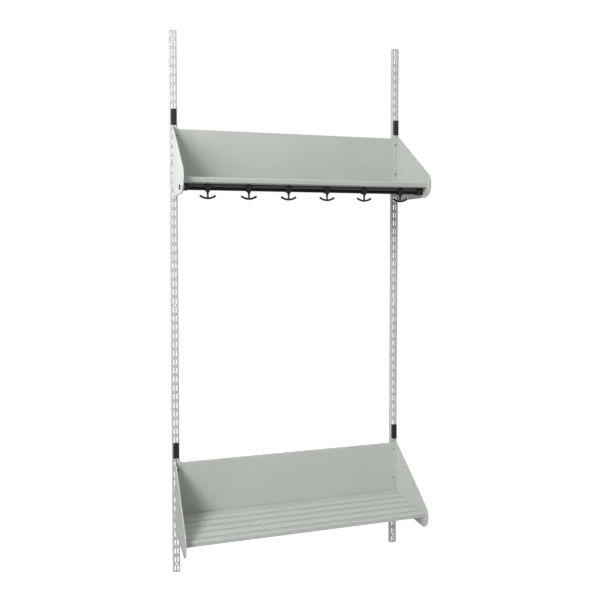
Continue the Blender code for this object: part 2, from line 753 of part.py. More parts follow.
def make_carrier():
    """One hook carrier, with its origin on the hook's swivel axis."""
    collar = [
        (0, COLLAR_BOTTOM),
        (COLLAR_BOTTOM_RADIUS, COLLAR_BOTTOM),
        (COLLAR_TOP_RADIUS, COLLAR_TOP),
        (0, COLLAR_TOP),
    ]
    carrier = turned("carrier_collar", collar, at(0, 0, 0), UP)
    groove = GROOVE_FORWARD - STEM_FORWARD
    saddle_across = (-SADDLE_WIDTH / 2, SADDLE_WIDTH / 2)
    saddle_height = (COLLAR_TOP - SADDLE_THICKNESS, COLLAR_TOP - JOIN_STEP)
    join(carrier, box("carrier_saddle", saddle_across, (groove - SADDLE_REACH, 0), saddle_height))
    neck_half = GROOVE_NECK_WIDTH / 2 - KEY_PLAY
    neck_across = (-KEY_LENGTH / 2, KEY_LENGTH / 2)
    neck_forward = (groove - neck_half, groove + neck_half)
    neck_height = (COLLAR_TOP - SADDLE_THICKNESS + JOIN_STEP, KEY_HEAD_TOP - JOIN_STEP)
    join(carrier, box("carrier_key_neck", neck_across, neck_forward, neck_height))
    head_across = (-KEY_LENGTH / 2 - JOIN_STEP, KEY_LENGTH / 2 + JOIN_STEP)
    head_forward = (groove - KEY_HEAD_HALF, groove + KEY_HEAD_HALF)
    head_height = (KEY_HEAD_BOTTOM, KEY_HEAD_TOP)
    join(carrier, box("carrier_key_head", head_across, head_forward, head_height))
    disc_back = DISC_BACK - STEM_FORWARD
    bridge_across = (-BRIDGE_WIDTH / 2, BRIDGE_WIDTH / 2)
    bridge_forward = (disc_back + JOIN_STEP, disc_back + BRIDGE_THICKNESS)
    bridge_height = (COLLAR_BOTTOM + BRIDGE_LIFT, RAIL_HEIGHT - DISC_RADIUS / 2)
    join(carrier, box("carrier_bridge", bridge_across, bridge_forward, bridge_height))
    disc = profile_from(DISC_SHARES, DISC_RADIUS, DISC_DEPTH)
    disc_seat = at(0, disc_back, RAIL_HEIGHT)
    join(carrier, turned("carrier_disc", disc, disc_seat, FORWARD))
    hole_radius = SWIVEL_PIN_RADIUS + SWIVEL_PLAY
    socket_radius = SWIVEL_HEAD_RADIUS + SWIVEL_PLAY
    socket = [
        (0, COLLAR_BOTTOM - CUT_MARGIN),
        (hole_radius, COLLAR_BOTTOM - CUT_MARGIN),
        (hole_radius, SOCKET_BOTTOM),
        (socket_radius, SOCKET_BOTTOM),
        (socket_radius, SOCKET_TOP),
        (0, SOCKET_TOP),
    ]
    cut(carrier, turned("carrier_socket", socket, at(0, 0, 0), UP, SMALL_SEGMENTS))
    return carrier


def make_hook():
    """One anchor hook, with its origin on its swivel axis."""
    head_bottom = SOCKET_BOTTOM + SWIVEL_PLAY
    head_top = SOCKET_TOP - SWIVEL_PLAY
    stem = [
        (0, HOOK_BOTTOM + ARM_RADIUS),
        (STEM_RADIUS, HOOK_BOTTOM + ARM_RADIUS),
        (STEM_RADIUS, STEM_TOP),
        (SWIVEL_PIN_RADIUS, STEM_TOP),
        (SWIVEL_PIN_RADIUS, head_bottom),
        (SWIVEL_HEAD_RADIUS, head_bottom),
        (SWIVEL_HEAD_RADIUS, head_top),
        (0, head_top),
    ]
    hook = turned("anchor_stem", stem, at(0, 0, 0), UP, SMALL_SEGMENTS)
    turn = math.asin(ARM_REACH / ARM_BEND)
    centre = HOOK_BOTTOM + ARM_RADIUS + ARM_BEND
    bends = [(turn * (2 * i / ARM_STEPS - 1), 1) for i in range(ARM_STEPS + 1)]
    for rise in TIP_RISES:
        beyond = turn + ARM_RADIUS / ARM_BEND * math.sin(math.radians(rise))
        radius_share = math.cos(math.radians(rise))
        bends.insert(0, (-beyond, radius_share))
        bends.append((beyond, radius_share))
    points = []
    for angle, radius_share in bends:
        point = (ARM_BEND * math.sin(angle), 0, centre - ARM_BEND * math.cos(angle))
        points.append((point, radius_share))
    join(hook, bar("anchor_arm", points, ARM_RADIUS, at(0, 0, 0)))
    return hook


def make_hooks():
    copies = (
        ("hook_carrier", settled(make_carrier())),
        ("anchor_hook", settled(make_hook())),
    )
    for label, shape in copies:
        pattern = object_from(label, shape)
        pattern.data.materials.append(black_plastic)
        for number in range(HOOK_COUNT):
            x = (number / (HOOK_COUNT - 1) - 0.5) * HOOK_SPREAD
            obj = bpy.data.objects.new(f"{label}_{number + 1}", pattern.data)
            obj.location = at(x, STEM_FORWARD, SHELF_BOTTOMS["upper"])
            parts.objects.link(obj)
        bpy.data.objects.remove(pattern)


def make_lock_clip(level, side, sign):
    name = f"{level}_{side}_lock_clip"
    bottom = SHELF_BOTTOMS[level]
    clip_bottom = bottom + TAB_MIDDLE - CLIP_HANG
    centre = sign * UPRIGHT_CENTRE
    across = (centre - CLIP_WIDTH / 2, centre + CLIP_WIDTH / 2)
    forward = (CLIP_BACK, CLIP_BACK + CLIP_THICKNESS)
    height = (clip_bottom, clip_bottom + CLIP_HEIGHT)
    clip = as_part(box(name, across, forward, height), black_plastic)
    round_edges(clip, CLIP_ROUNDING, 2)
    tab_half = SLOT_WIDTH / 2 - TAB_PLAY
    tab_forward = (WEB_BACK - TAB_DEPTH, CLIP_BACK + TAB_ROOT)
    tab_middle = bottom + TAB_MIDDLE
    tab_height = (tab_middle - TAB_HEIGHT / 2, tab_middle + TAB_HEIGHT / 2)
    for number, column in enumerate((-SLOT_COLUMN, SLOT_COLUMN), start=1):
        tab_across = (centre + column - tab_half, centre + column + tab_half)
        join(clip, box(f"{name}_tab_{number}", tab_across, tab_forward, tab_height))


clear_scene()
parts = bpy.data.collections.new("childrens_cloakroom_unit")
cutters = bpy.data.collections.new("cutters_and_additions")
for collection in (parts, cutters):
    bpy.context.scene.collection.children.link(collection)
cutters.hide_render = True

upright_paint = new_material("upright_light_grey_paint", (0.62, 0.62, 0.60), 0, 0.45)
shelf_paint = new_material("shelf_grey_green_paint", (0.47, 0.51, 0.47), 0, 0.45)
rail_black = new_material("rail_black_plastic", (0.012, 0.012, 0.012), 0, 0.35)
black_plastic = new_material("black_plastic", (0.010, 0.010, 0.010), 0, 0.45)
dark_steel = new_material("dark_screw_steel", (0.10, 0.10, 0.10), 0.8, 0.45)
bright_steel = new_material("bright_screw_steel", (0.55, 0.55, 0.55), 0.9, 0.35)

for side_name, side_sign in SIDES.items():
    make_upright(side_name, side_sign)
    make_end_bracket(side_name, side_sign)
    for level_name in SHELF_BOTTOMS:
        make_gable(level_name, side_name, side_sign)
        make_lock_clip(level_name, side_name, side_sign)
for level_name in SHELF_BOTTOMS:
    make_back_plate(level_name)
    make_shelf_panel(level_name)
    make_plate_screws(level_name)
make_rail()
make_hooks()
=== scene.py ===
import math

import bmesh
import bpy
import numpy as np
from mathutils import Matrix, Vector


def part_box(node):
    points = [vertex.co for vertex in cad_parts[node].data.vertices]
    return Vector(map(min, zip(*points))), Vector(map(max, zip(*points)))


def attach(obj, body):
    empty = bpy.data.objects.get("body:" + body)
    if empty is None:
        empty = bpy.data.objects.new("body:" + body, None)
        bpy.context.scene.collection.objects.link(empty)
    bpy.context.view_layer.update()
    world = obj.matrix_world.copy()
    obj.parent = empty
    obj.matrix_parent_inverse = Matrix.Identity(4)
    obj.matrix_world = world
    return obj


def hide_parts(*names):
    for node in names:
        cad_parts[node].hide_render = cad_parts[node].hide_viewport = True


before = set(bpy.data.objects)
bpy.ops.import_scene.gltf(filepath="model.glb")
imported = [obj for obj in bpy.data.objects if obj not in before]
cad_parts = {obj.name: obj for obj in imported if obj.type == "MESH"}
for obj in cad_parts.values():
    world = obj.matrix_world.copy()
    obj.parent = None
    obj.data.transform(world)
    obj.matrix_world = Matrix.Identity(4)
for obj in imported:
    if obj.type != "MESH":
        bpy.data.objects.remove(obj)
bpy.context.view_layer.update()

# Sizes of the real unit, in metres. Forward values count from the wall, and heights in a
# shelf count from the gables' lowest line.
SHEET = 0.0015
GAP = 0.0003
SHELF_BOTTOMS = {"upper": 1.384, "lower": 0.168}
SIDES = {"left": -1, "right": 1}

# Roundings of cut edges, how worn such an edge is, and the distances at which points merge
CUT_EDGE = 0.0005
END_EDGE = 0.0003
FINE_EDGE = 0.0002
CUT_RUB_SHARE = 0.6
RIM_RUB_SHARE = 0.5
MERGE_DISTANCE = 0.000002
SHORTEST_EDGE = 0.000001

# Uprights
UPRIGHT_CENTRE = 0.4365
UPRIGHT_WIDTH = 0.027
UPRIGHT_DEPTH = 0.016
UPRIGHT_BEND = 0.0022
UPRIGHT_SOFT_EDGE = 0.00025
UPRIGHT_SOFT_ANGLE = 60
SLOT_PITCH = 0.032
SLOT_COUNT = 62
SLOT_HEIGHT = 0.019
SLOT_WIDTH = 0.004
SLOT_COLUMN = 0.0052
WALL_HOLE_RADIUS = 0.0035
WALL_HOLE_ROWS = (1, 31, 61)

# Gables, with their fold, rim, flange and lugs. The skin keeps faces apart that would
# lie on each other.
GABLE_FACE = 0.44245
GABLE_BACK = 0.031
GABLE_HEIGHT = 0.256
NOSE_FORWARD = 0.266
NOSE_RADIUS = 0.047
NOSE_SHY = 0.0002
GABLE_NOSE_STATIONS = 61
FOLD_RADIUS = 0.0021
FOLD_LAND = 0.001
RIM_WIDTH = 0.004
CORNER_RADIUS = 0.0036
OPEN_BACK = (0.0043, 0.0628)
NOTCH_HEIGHTS = (0.0632, 0.0626, 0.0046, 0.0040)
INNER_HALF = 0.44065
FLANGE_WIDTH = 0.0215
FLANGE_BOTTOM = 0.0628
FLANGE_CORNER = 0.002
SKIN = 0.00005
LUG_HEIGHTS = (0.040, 0.136, 0.232)
LUG_HALF = 0.00065
LUG_OUTLINE = (
    (0.036, -0.0092),
    (0.036, 0.0030),
    (0.0070, 0.0030),
    (0.0070, -0.0140),
    (0.0142, -0.0140),
    (0.0142, -0.0092),
)
LUG_RADII = (0.0005, 0.0005, 0.002, 0.001, 0.0015, 0.0008)

# Back plates
PLATE_FRONT = 0.0307
PLATE_TOP = 0.246
PLATE_BOTTOM = 0.041
PLATE_HEM_DEPTH = 0.0097
PLATE_OUTER_BEND = 0.0025
PLATE_INNER_BEND = 0.001

# Screws, as shank radius, length, head radius and head height
SCREW_OUT = 0.42965
SCREW_HEIGHTS = {"top": 0.2205, "bottom": 0.1047}
PLATE_SCREW = (0.0016, 0.009, 0.003, 0.0018)
BRACKET_SCREW = (0.0014, 0.010, 0.0028, 0.0018)
THREAD_PITCH = 0.0012
THREAD_DEPTH = 0.00028
THREAD_END = 0.0006
THREAD_RINGS = 42
SCREW_TURNS = 28
SCREW_NECK = 0.0003
POINT_LENGTH = 0.0015
POINT_SHARE = 0.15
HEAD_RINGS = 16
HEAD_RIM_SHARE = 0.8
CROSS_WIDTH_SHARE = 0.17
CROSS_REACH_SHARE = 0.62
CROSS_SLOPE_SHARE = 0.3
CROSS_DEPTH_SHARE = 0.55

# Shelf panels
PANEL_TOP = 0.0545
PANEL_FRONT = 0.2785
PANEL_BACK = 0.0327
PANEL_FACE_HEIGHT = 0.018
PANEL_RETURN = 0.014
PANEL_FLANGE = 0.015
PANEL_BEND = 0.0025
PANEL_FRONT_BEND = 0.004
PANEL_STATIONS = 181
HOLLOW_START = 0.0944
HOLLOW_PITCH = 0.048
HOLLOW_COUNT = 4
HOLLOW_DEPTH = 0.005
HOLLOW_POWER = 1.5

# Hook rail with its T groove, and the heights over which a painted highlight lightens its colour
RAIL_FORWARD = 0.236
RAIL_HEIGHT = 0.025
RAIL_NOSE = 0.011
RAIL_HIGHLIGHT_BAND = (1.4072, 1.4102)
RAIL_BACK = 0.222
RAIL_HALF = 0.41685
RAIL_NOSE_STATIONS = 40
RAIL_NOSE_START = 0.02
GROOVE_FORWARD = 0.233
GROOVE_NECK_HALF = 0.003
GROOVE_NECK_TOP = 0.0025
GROOVE_HEAD_HALF = 0.0055
GROOVE_HEAD_TOP = 0.0075
GROOVE_CUT = 0.0003
GROOVE_RADII = (0.0008, 0.0008, 0.0004, 0.0003, 0.0003, 0.0003, 0.0003, 0.0003, 0.0003, 0)

# Rail end brackets
BRACKET_OUTLINE = ((0.223, 0.0115), (0.248, 0.0115), (0.248, 0.0355), (0.223, 0.0355))
BRACKET_RADII = (0.002, 0.0035, 0.0035, 0.002)
BRACKET_END_EDGE = 0.0012
TONGUE_INSIDE = 0.0125
TONGUE_OUTSIDE = 0.00625
TONGUE_HALF = 0.0049
TONGUE_HEIGHTS = (0.0171, 0.0209)
TONGUE_CORNER = 0.0006
TONGUE_EDGE = 0.0004
PIN_FORWARD = 0.241
PIN_HEIGHTS = (0.0175, 0.0263)
PIN_PROFILE = (
    (0, -0.0078),
    (0.0025, -0.0078),
    (0.0025, 0),
    (0.0039, 0),
    (0.0039, 0.0036),
    (0, 0.0038),
)
PIN_RADII = (0, 0.0003, 0.0003, 0.0003, 0.0012, 0)

# Hook carriers: profiles are (radius, height), and a block is its half width, its forward
# and height ranges, and the radii of its corners and edges
HOOK_COUNT = 6
HOOK_STEM = 0.246
HOOK_SPREAD = 0.7025
COLLAR_PROFILE = (
    (0, 0.0055),
    (0.0044, 0.0055),
    (0.0050, 0.0090),
    (0.0082, 0.0122),
    (0.0082, 0.0137),
    (0, 0.0137),
)
COLLAR_RADII = (0, 0.0006, 0.006, 0.0008, 0.0003, 0)
DISC_PROFILE = (
    (0, 0.0004),
    (0.0115, 0.0),
    (0.0115, 0.0026),
    (0.0104, 0.0046),
    (0.0075, 0.0053),
    (0.0040, 0.0055),
    (0.0034, 0.0049),
    (0, 0.0049),
)
DISC_RADII = (0, 0.0004, 0.0008, 0.002, 0.004, 0.0003, 0.0003, 0)
CARRIER_BLOCKS = {
    "web": (0.0065, (0.2475, 0.2516), (0.0075, 0.0195), 0.0014, 0.0014),
    "foot": (0.007, (0.227, 0.2462), (0.0107, 0.0136), 0.0012, 0.0004),
    "neck": (0.005, (0.2306, 0.2354), (0.0125, 0.0200), 0.0006, 0.0003),
    "key": (0.005, (0.2281, 0.2379), (0.0171, 0.0209), 0.0006, 0.0004),
}

# Anchor hooks
ARM_BEND = 0.043
ARM_REACH = 0.0245
ARM_RADIUS = 0.0035
ARM_STATIONS = 61
ARM_SWELL_SHARE = 0.1
CROWN_DROP = 0.0135
STEM_PROFILE = (
    (0, -0.0135),
    (0.0050, -0.0128),
    (0.0034, -0.0088),
    (0.0031, -0.0020),
    (0.0040, 0.0040),
    (0.0040, 0.0052),
    (0.0022, 0.0052),
    (0.0022, 0.0094),
    (0.0034, 0.0094),
    (0.0034, 0.0122),
    (0, 0.0122),
)
STEM_RADII = (0, 0.0008, 0.006, 0.01, 0.003, 0.0004, 0.0002, 0.0002, 0.0003, 0.0003, 0)

# Lock clips
CLIP_RADII = (0.001, 0.001, 0.0025, 0.0025)
CLIP_END_EDGE = 0.0016
CLIP_STATIONS = 90
RIB_COUNT = 7
RIB_DEPTH = 0.00045
RIB_BAND_SHARES = (0.28, 0.72)
CLIP_RUB_SHARE = 0.6
TAB_HEIGHT = 0.296
TAB_HALF = 0.0015
TAB_RISE = 0.008
TAB_BACK = 0.0107
TAB_OVERLAP = 0.002
TAB_CORNER = 0.0005
TAB_EDGE = 0.0008

# Photograph's camera, in metres, degrees and millimetres of lens
CAMERA_PLACE = (-0.73106, -2.55508, 1.23853)
CAMERA_DIP = 2.41
CAMERA_TURN = -16.91
CAMERA_LENS = 41.515
CAMERA_SHIFT = -0.0552

# Studio: floor, background and lamps as place, target, size, power in watts and spread
FLOOR_HALF = 40.0
FLOOR_HEIGHT = -0.32
FLOOR_SHADE = 0.55
FLOOR_GLOW = 0.80
WORLD_LIGHT = 0.40
LAMPS = {
    "key_softbox": ((-4.6, -4.5, 4.3), (0.0, -0.1, 0.9), (2.2, 2.2), 225, 180),
    "top_softbox": ((0.2, -1.4, 3.4), (0.0, -0.15, 1.0), (1.6, 1.2), 4, 180),
    "left_softbox": ((-1.35, -0.5, 1.75), (-0.45, -0.15, 1.52), (0.6, 0.6), 8, 180),
    "low_softbox": ((-2.6, -2.7, 1.5), (0.0, -0.1, 0.30), (0.9, 0.9), 0.8, 40),
    "upper_right_softbox": ((-2.2, -2.9, 2.3), (0.42, -0.1, 1.48), (0.8, 0.8), 0.15, 26),
    "lower_right_softbox": ((-2.2, -2.9, 1.3), (0.42, -0.1, 0.26), (0.8, 0.8), 0.4, 26),
}


# Surfaces


def grid_faces(rows, columns, round_columns=True):
    """Quads between neighbouring points of a rows x columns grid, whose rows may be rings."""
    row = np.arange(rows - 1)[:, None]
    column = np.arange(columns if round_columns else columns - 1)[None, :]
    next_column = (column + 1) % columns
    corners = (
        row * columns + column,
        row * columns + next_column,
        (row + 1) * columns + next_column,
        (row + 1) * columns + column,
    )
    return np.stack(np.broadcast_arrays(*corners), -1).reshape(-1, 4)


def rounded(corners, radii, steps=4, closed=True):
    """An outline with arcs for corners, and for each point how far it is into its arc.

    A corner is cut back by radius / tan(half its angle), and between the cuts the arc's
    points are centre + (sin((1 - k) w) a + sin(k w) b) / sin(w), for k from 0 to 1, where
    a and b run from the centre to the cuts and w is the angle between them.
    """
    corners = np.asarray(corners, float)
    radii = np.broadcast_to(np.asarray(radii, float), len(corners))
    outline, bend = [], []
    last = len(corners) - 1
    for i, corner in enumerate(corners):
        if radii[i] == 0 or (not closed and i in (0, last)):
            outline.append(corner[None])
            bend.append([0.0])
            continue
        before = corners[i - 1] - corner
        after = corners[(i + 1) % len(corners)] - corner
        before /= np.linalg.norm(before)
        after /= np.linalg.norm(after)
        half = math.acos(np.clip(before @ after, -1, 1)) / 2
        inwards = (before + after) / np.linalg.norm(before + after)
        centre = corner + inwards * radii[i] / math.sin(half)
        first = corner + before * radii[i] / math.tan(half) - centre
        second = corner + after * radii[i] / math.tan(half) - centre
        share = np.linspace(0, 1, steps + 1)[:, None]
        turn = math.pi - 2 * half
        arc = (np.sin((1 - share) * turn) * first + np.sin(share * turn) * second) / math.sin(turn)
        outline.append(centre + arc)
        bend.append(np.sin(share[:, 0] * math.pi))
    return np.concatenate(outline), np.concatenate(bend)


def counted_left(outline, bend):
    """The same closed outline, turning to the left."""
    x, y = outline[:, 0], outline[:, 1]
    area = (x * np.roll(y, -1) - np.roll(x, -1) * y).sum()
    return (outline, bend) if area > 0 else (outline[::-1], bend[::-1])


def drawn_in(outline, distance):
    """A closed outline with each side moved inwards.

    A corner moves along the sum of its two side normals over one plus their product.
    """
    step = np.roll(outline, -1, 0) - outline
    side = np.stack([step[:, 1], -step[:, 0]], 1) / np.linalg.norm(step, axis=1)[:, None]
    before = np.roll(side, 1, 0)
    miter = (side + before) / (1 + (side * before).sum(1))[:, None]
    return outline - distance * miter


def carried(outline, bend, start, end, edge=END_EDGE, steps=3):
    """A closed outline carried from start to end along the third axis, with rounded ends.

    At an end, for a turn t from 0 to a quarter circle, the outline is drawn in by
    edge (1 - sin t) and has come edge (1 - cos t) along.
    """
    outline, bend = counted_left(outline, bend)
    turn = np.linspace(0, math.pi / 2, steps + 1)
    inset = edge * (1 - np.sin(turn))
    along = edge * (1 - np.cos(turn))
    rest = min(4 * edge + 0.001, (end - start) / 3)
    places = np.concatenate([start + along, [start + rest, end - rest], (end - along)[::-1]])
    insets = np.concatenate([inset, [0, 0], inset[::-1]])
    fold = np.sin(2 * turn)
    fold[0] = CUT_RUB_SHARE
    folds = np.concatenate([fold, [0, 0], fold[::-1]])
    rings = np.stack([drawn_in(outline, distance) for distance in insets])
    heights = np.broadcast_to(places[:, None, None], rings.shape[:2] + (1,))
    points = np.concatenate([rings, heights], -1).reshape(-1, 3)
    count = len(outline)
    faces = [tuple(face) for face in grid_faces(len(places), count).tolist()]
    faces.append(tuple(range(count))[::-1])
    faces.append(tuple(range(len(points) - count, len(points))))
    edges = np.maximum(folds[:, None], bend[None, :]).reshape(-1)
    return points, faces, edges


def revolved(profile, bend, turns=48):
    """A profile of (radius, height) points turned round the third axis: (r cos a, r sin a, h)."""
    angle = np.arange(turns) * (2 * math.pi / turns)
    radius, height = profile[:, :1], profile[:, 1:]
    points = np.stack(
        [radius * np.cos(angle), radius * np.sin(angle), height + 0 * angle], -1
    ).reshape(-1, 3)
    return points, grid_faces(len(profile), turns).tolist(), np.repeat(bend, turns)


def swept(centres, normals, radii, turns=20):
    """A round bar along a path: centre + r (cos a normal + sin a binormal) at each station."""
    angle = np.arange(turns) * (2 * math.pi / turns)
    path = np.gradient(centres, axis=0)
    path /= np.linalg.norm(path, axis=1)[:, None]
    binormals = np.cross(path, normals)
    ring = (
        np.cos(angle)[None, :, None] * normals[:, None, :]
        + np.sin(angle)[None, :, None] * binormals[:, None, :]
    )
    points = (centres[:, None, :] + radii[:, None, None] * ring).reshape(-1, 3)
    return points, grid_faces(len(centres), turns).tolist(), np.zeros(len(points))


def block(across, forward, height, corner, edge):
    """A block with rounded corners, carried along its height."""
    corners = [
        (across[0], -forward[0]),
        (across[1], -forward[0]),
        (across[1], -forward[1]),
        (across[0], -forward[1]),
    ]
    outline, bend = rounded(corners, corner, 3)
    return carried(outline, bend, height[0], height[1], edge, 2)


def turned_to(shape, axis, place=(0, 0, 0)):
    """A shape with its third axis laid along another axis, then put in its place.

    "side" takes an outline of (forward, height) and carries it along x, and "face" takes
    one of (x, height) and carries it forward. "right", "left", "front" and "up" say where
    the third axis of a turned shape points.
    """
    points, faces, edges = shape
    a, b, c = points.T
    columns = {
        "side": (c, -a, b),
        "face": (a, -c, b),
        "right": (c, a, b),
        "left": (-c, -a, b),
        "front": (a, -c, b),
        "up": (a, b, c),
    }[axis]
    return np.stack(columns, 1) + np.asarray(place, float), faces, edges


# Pieces


def mesh_of(name, shapes):
    """One mesh of several (points, faces, edges) shapes, with the edge values as an attribute."""
    points = np.concatenate([shape[0] for shape in shapes])
    starts = np.cumsum([0] + [len(shape[0]) for shape in shapes[:-1]])
    faces = [
        tuple(index + start for index in face)
        for (_, own, _), start in zip(shapes, starts.tolist())
        for face in own
    ]
    mesh = bpy.data.meshes.new(name)
    mesh.from_pydata(points.tolist(), [], faces)
    attribute = mesh.attributes.new("edge", "FLOAT", "POINT")
    attribute.data.foreach_set("value", np.concatenate([shape[2] for shape in shapes]))
    return mesh


def closed_up(mesh, recalculate=True):
    """Merges the points that lie on each other and turns the faces outwards."""
    shape = bmesh.new()
    shape.from_mesh(mesh)
    bmesh.ops.remove_doubles(shape, verts=shape.verts, dist=MERGE_DISTANCE)
    bmesh.ops.dissolve_degenerate(shape, edges=shape.edges, dist=SHORTEST_EDGE)
    if recalculate:
        bmesh.ops.recalc_face_normals(shape, faces=shape.faces)
    shape.to_mesh(mesh)
    shape.free()


def applied(piece):
    """Puts the result of a piece's modifiers into its mesh."""
    bpy.context.view_layer.update()
    graph = bpy.context.evaluated_depsgraph_get()
    mesh = bpy.data.meshes.new_from_object(piece.evaluated_get(graph))
    piece.modifiers.clear()
    old, piece.data = piece.data, mesh
    bpy.data.meshes.remove(old)


def smooth(piece, angle=32):
    """Shades a piece smooth except where its faces meet at more than an angle in degrees."""
    piece.data.shade_smooth()
    piece.data.set_sharp_from_angle(angle=math.radians(angle))


def piece_from(node, mesh, material, body="frame"):
    """Puts a finished mesh in the scene in place of a node of the frame."""
    piece = bpy.data.objects.new(f"{node}_shape", mesh)
    bpy.context.scene.collection.objects.link(piece)
    piece.data.materials.append(material)
    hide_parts(node)
    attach(piece, body)
    return piece


def solid_piece(node, shapes, material, body="frame"):
    """A piece made of closed shapes, in place of a node."""
    mesh = mesh_of(f"{node}_shape", shapes)
    closed_up(mesh)
    smooth(piece_from(node, mesh, material, body))


def cut_round(piece, places, radius, length):
    """Cuts round holes that run front to back through a piece."""
    end = length / 2
    profile = np.array([(0, -end), (radius, -end), (radius, end), (0, end)])
    drills = [turned_to(revolved(profile, np.zeros(4), 32), "front", place) for place in places]
    mesh = mesh_of("drill", drills)
    closed_up(mesh)
    drill = bpy.data.objects.new("drill", mesh)
    bpy.context.scene.collection.objects.link(drill)
    modifier = piece.modifiers.new("holes", "BOOLEAN")
    modifier.operation = "DIFFERENCE"
    modifier.solver = "EXACT"
    modifier.object = drill
    applied(piece)
    bpy.data.objects.remove(drill, do_unlink=True)
    bpy.data.meshes.remove(mesh)


def thickened(piece):
    """Gives a surface the thickness of the sheet, on its inner side."""
    modifier = piece.modifiers.new("sheet", "SOLIDIFY")
    modifier.thickness = SHEET
    modifier.offset = -1
    modifier.use_even_offset = True
    modifier.use_quality_normals = True
    applied(piece)


def softened(piece, width, angle):
    """Takes off each edge that is sharper than an angle in degrees."""
    modifier = piece.modifiers.new("soft edges", "BEVEL")
    modifier.width = width
    modifier.segments = 1
    modifier.limit_method = "ANGLE"
    modifier.angle_limit = math.radians(angle)
    modifier.harden_normals = False
    applied(piece)


# Materials


def linear(*shades):
    """Linear values of sRGB shades between 0 and 255."""
    shade = np.array(shades) / 255
    return tuple(np.where(shade <= 0.04045, shade / 12.92, ((shade + 0.055) / 1.055) ** 2.4))


def new_group(name, inputs, outputs):
    """A node group with its named sockets: the tree, its input node and its output node."""
    group = bpy.data.node_groups.new(name, "ShaderNodeTree")
    for label, kind, value in inputs:
        socket = group.interface.new_socket(label, in_out="INPUT", socket_type=kind)
        socket.default_value = value
    for label, kind in outputs:
        group.interface.new_socket(label, in_out="OUTPUT", socket_type=kind)
    return group, group.nodes.new("NodeGroupInput"), group.nodes.new("NodeGroupOutput")


def joined(tree, kind, settings=(), **links):
    """A node with its settings, and with each input linked to a socket or set to a value."""
    node = tree.nodes.new(kind)
    for key, value in dict(settings).items():
        setattr(node, key, value)
    for label, value in links.items():
        socket = node.inputs[int(label[1:])] if label[0] == "_" else node.inputs[label]
        if isinstance(value, bpy.types.NodeSocket):
            tree.links.new(value, socket)
        else:
            socket.default_value = value
    return node


def times(tree, first, second, operation="MULTIPLY"):
    """The product of two values, or the result of another operation on them."""
    return joined(tree, "ShaderNodeMath", {"operation": operation}, _0=first, _1=second).outputs[0]


def spread(tree, value, low, high, to_low, to_high):
    """A value carried smoothly from one range to another, and held at its ends."""
    return joined(
        tree,
        "ShaderNodeMapRange",
        {"interpolation_type": "SMOOTHSTEP"},
        Value=value,
        _1=low,
        _2=high,
        _3=to_low,
        _4=to_high,
    ).outputs[0]


def cloud(tree, scale, detail=2.0, roughness=0.5):
    """Noise on object coordinates, in clouds of about one over the scale in metres."""
    place = tree.nodes.new("ShaderNodeTexCoord").outputs["Object"]
    return joined(
        tree,
        "ShaderNodeTexNoise",
        Vector=place,
        Scale=scale,
        Detail=detail,
        Roughness=roughness,
    ).outputs["Fac"]


def make_coat_grain():
    """Orange peel, tone and sheen of a baked or moulded surface, as masks and a height."""
    group, given, result = new_group(
        "surface_grain",
        [
            ("Grain", "NodeSocketFloat", 600.0),
            ("Clouds", "NodeSocketFloat", 7.0),
            ("Roughness Low", "NodeSocketFloat", 0.35),
            ("Roughness High", "NodeSocketFloat", 0.5),
        ],
        [
            ("Tone", "NodeSocketFloat"),
            ("Height", "NodeSocketFloat"),
            ("Roughness", "NodeSocketFloat"),
        ],
    )
    peel = cloud(group, given.outputs["Grain"], 1.5)
    broad = cloud(group, given.outputs["Clouds"], 4.0, 0.6)
    fine = cloud(group, times(group, given.outputs["Clouds"], 14.0), 3.0, 0.6)
    tone = times(group, times(group, broad, 0.7), times(group, fine, 0.3), "ADD")
    mixed = joined(
        group,
        "ShaderNodeMapRange",
        Value=fine,
        _1=0.3,
        _2=0.7,
        _3=given.outputs["Roughness Low"],
        _4=given.outputs["Roughness High"],
    )
    group.links.new(spread(group, tone, 0.35, 0.65, 0.0, 1.0), result.inputs["Tone"])
    group.links.new(peel, result.inputs["Height"])
    group.links.new(mixed.outputs[0], result.inputs["Roughness"])
    return group


def make_edge_rub():
    """A mask of worn edges: the piece's own edge values broken up by two sizes of cloud."""
    group, given, result = new_group(
        "edge_rub",
        [("Amount", "NodeSocketFloat", 0.5), ("Patches", "NodeSocketFloat", 40.0)],
        [("Mask", "NodeSocketFloat")],
    )
    edge = joined(group, "ShaderNodeAttribute", {"attribute_name": "edge"}).outputs["Fac"]
    patches = cloud(group, given.outputs["Patches"], 3.0, 0.7)
    broken = spread(group, patches, 0.35, 0.65, 0.25, 1.0)
    mask = times(group, times(group, edge, broken), given.outputs["Amount"])
    group.links.new(mask, result.inputs["Mask"])
    return group


def make_settled_dust():
    """A mask of the dust that settles where a surface faces up, thinned by clouds."""
    group, given, result = new_group(
        "settled_dust",
        [("Amount", "NodeSocketFloat", 0.1), ("Clouds", "NodeSocketFloat", 30.0)],
        [("Mask", "NodeSocketFloat")],
    )
    normal = group.nodes.new("ShaderNodeNewGeometry").outputs["Normal"]
    up = joined(group, "ShaderNodeSeparateXYZ", Vector=normal).outputs["Z"]
    facing = spread(group, up, 0.3, 1.0, 0.0, 1.0)
    thinned = spread(group, cloud(group, given.outputs["Clouds"], 4.0, 0.7), 0.3, 0.7, 0.2, 1.0)
    mask = times(group, times(group, facing, thinned), given.outputs["Amount"])
    group.links.new(mask, result.inputs["Mask"])
    return group


def mixed_colour(tree, share, first, second):
    """A mix of two colours, each a socket or three linear values."""
    node = joined(tree, "ShaderNodeMix", {"data_type": "RGBA"}, _0=share)
    for index, value in ((6, first), (7, second)):
        if isinstance(value, bpy.types.NodeSocket):
            tree.links.new(value, node.inputs[index])
        else:
            node.inputs[index].default_value = (*value, 1)
    return node.outputs[2]


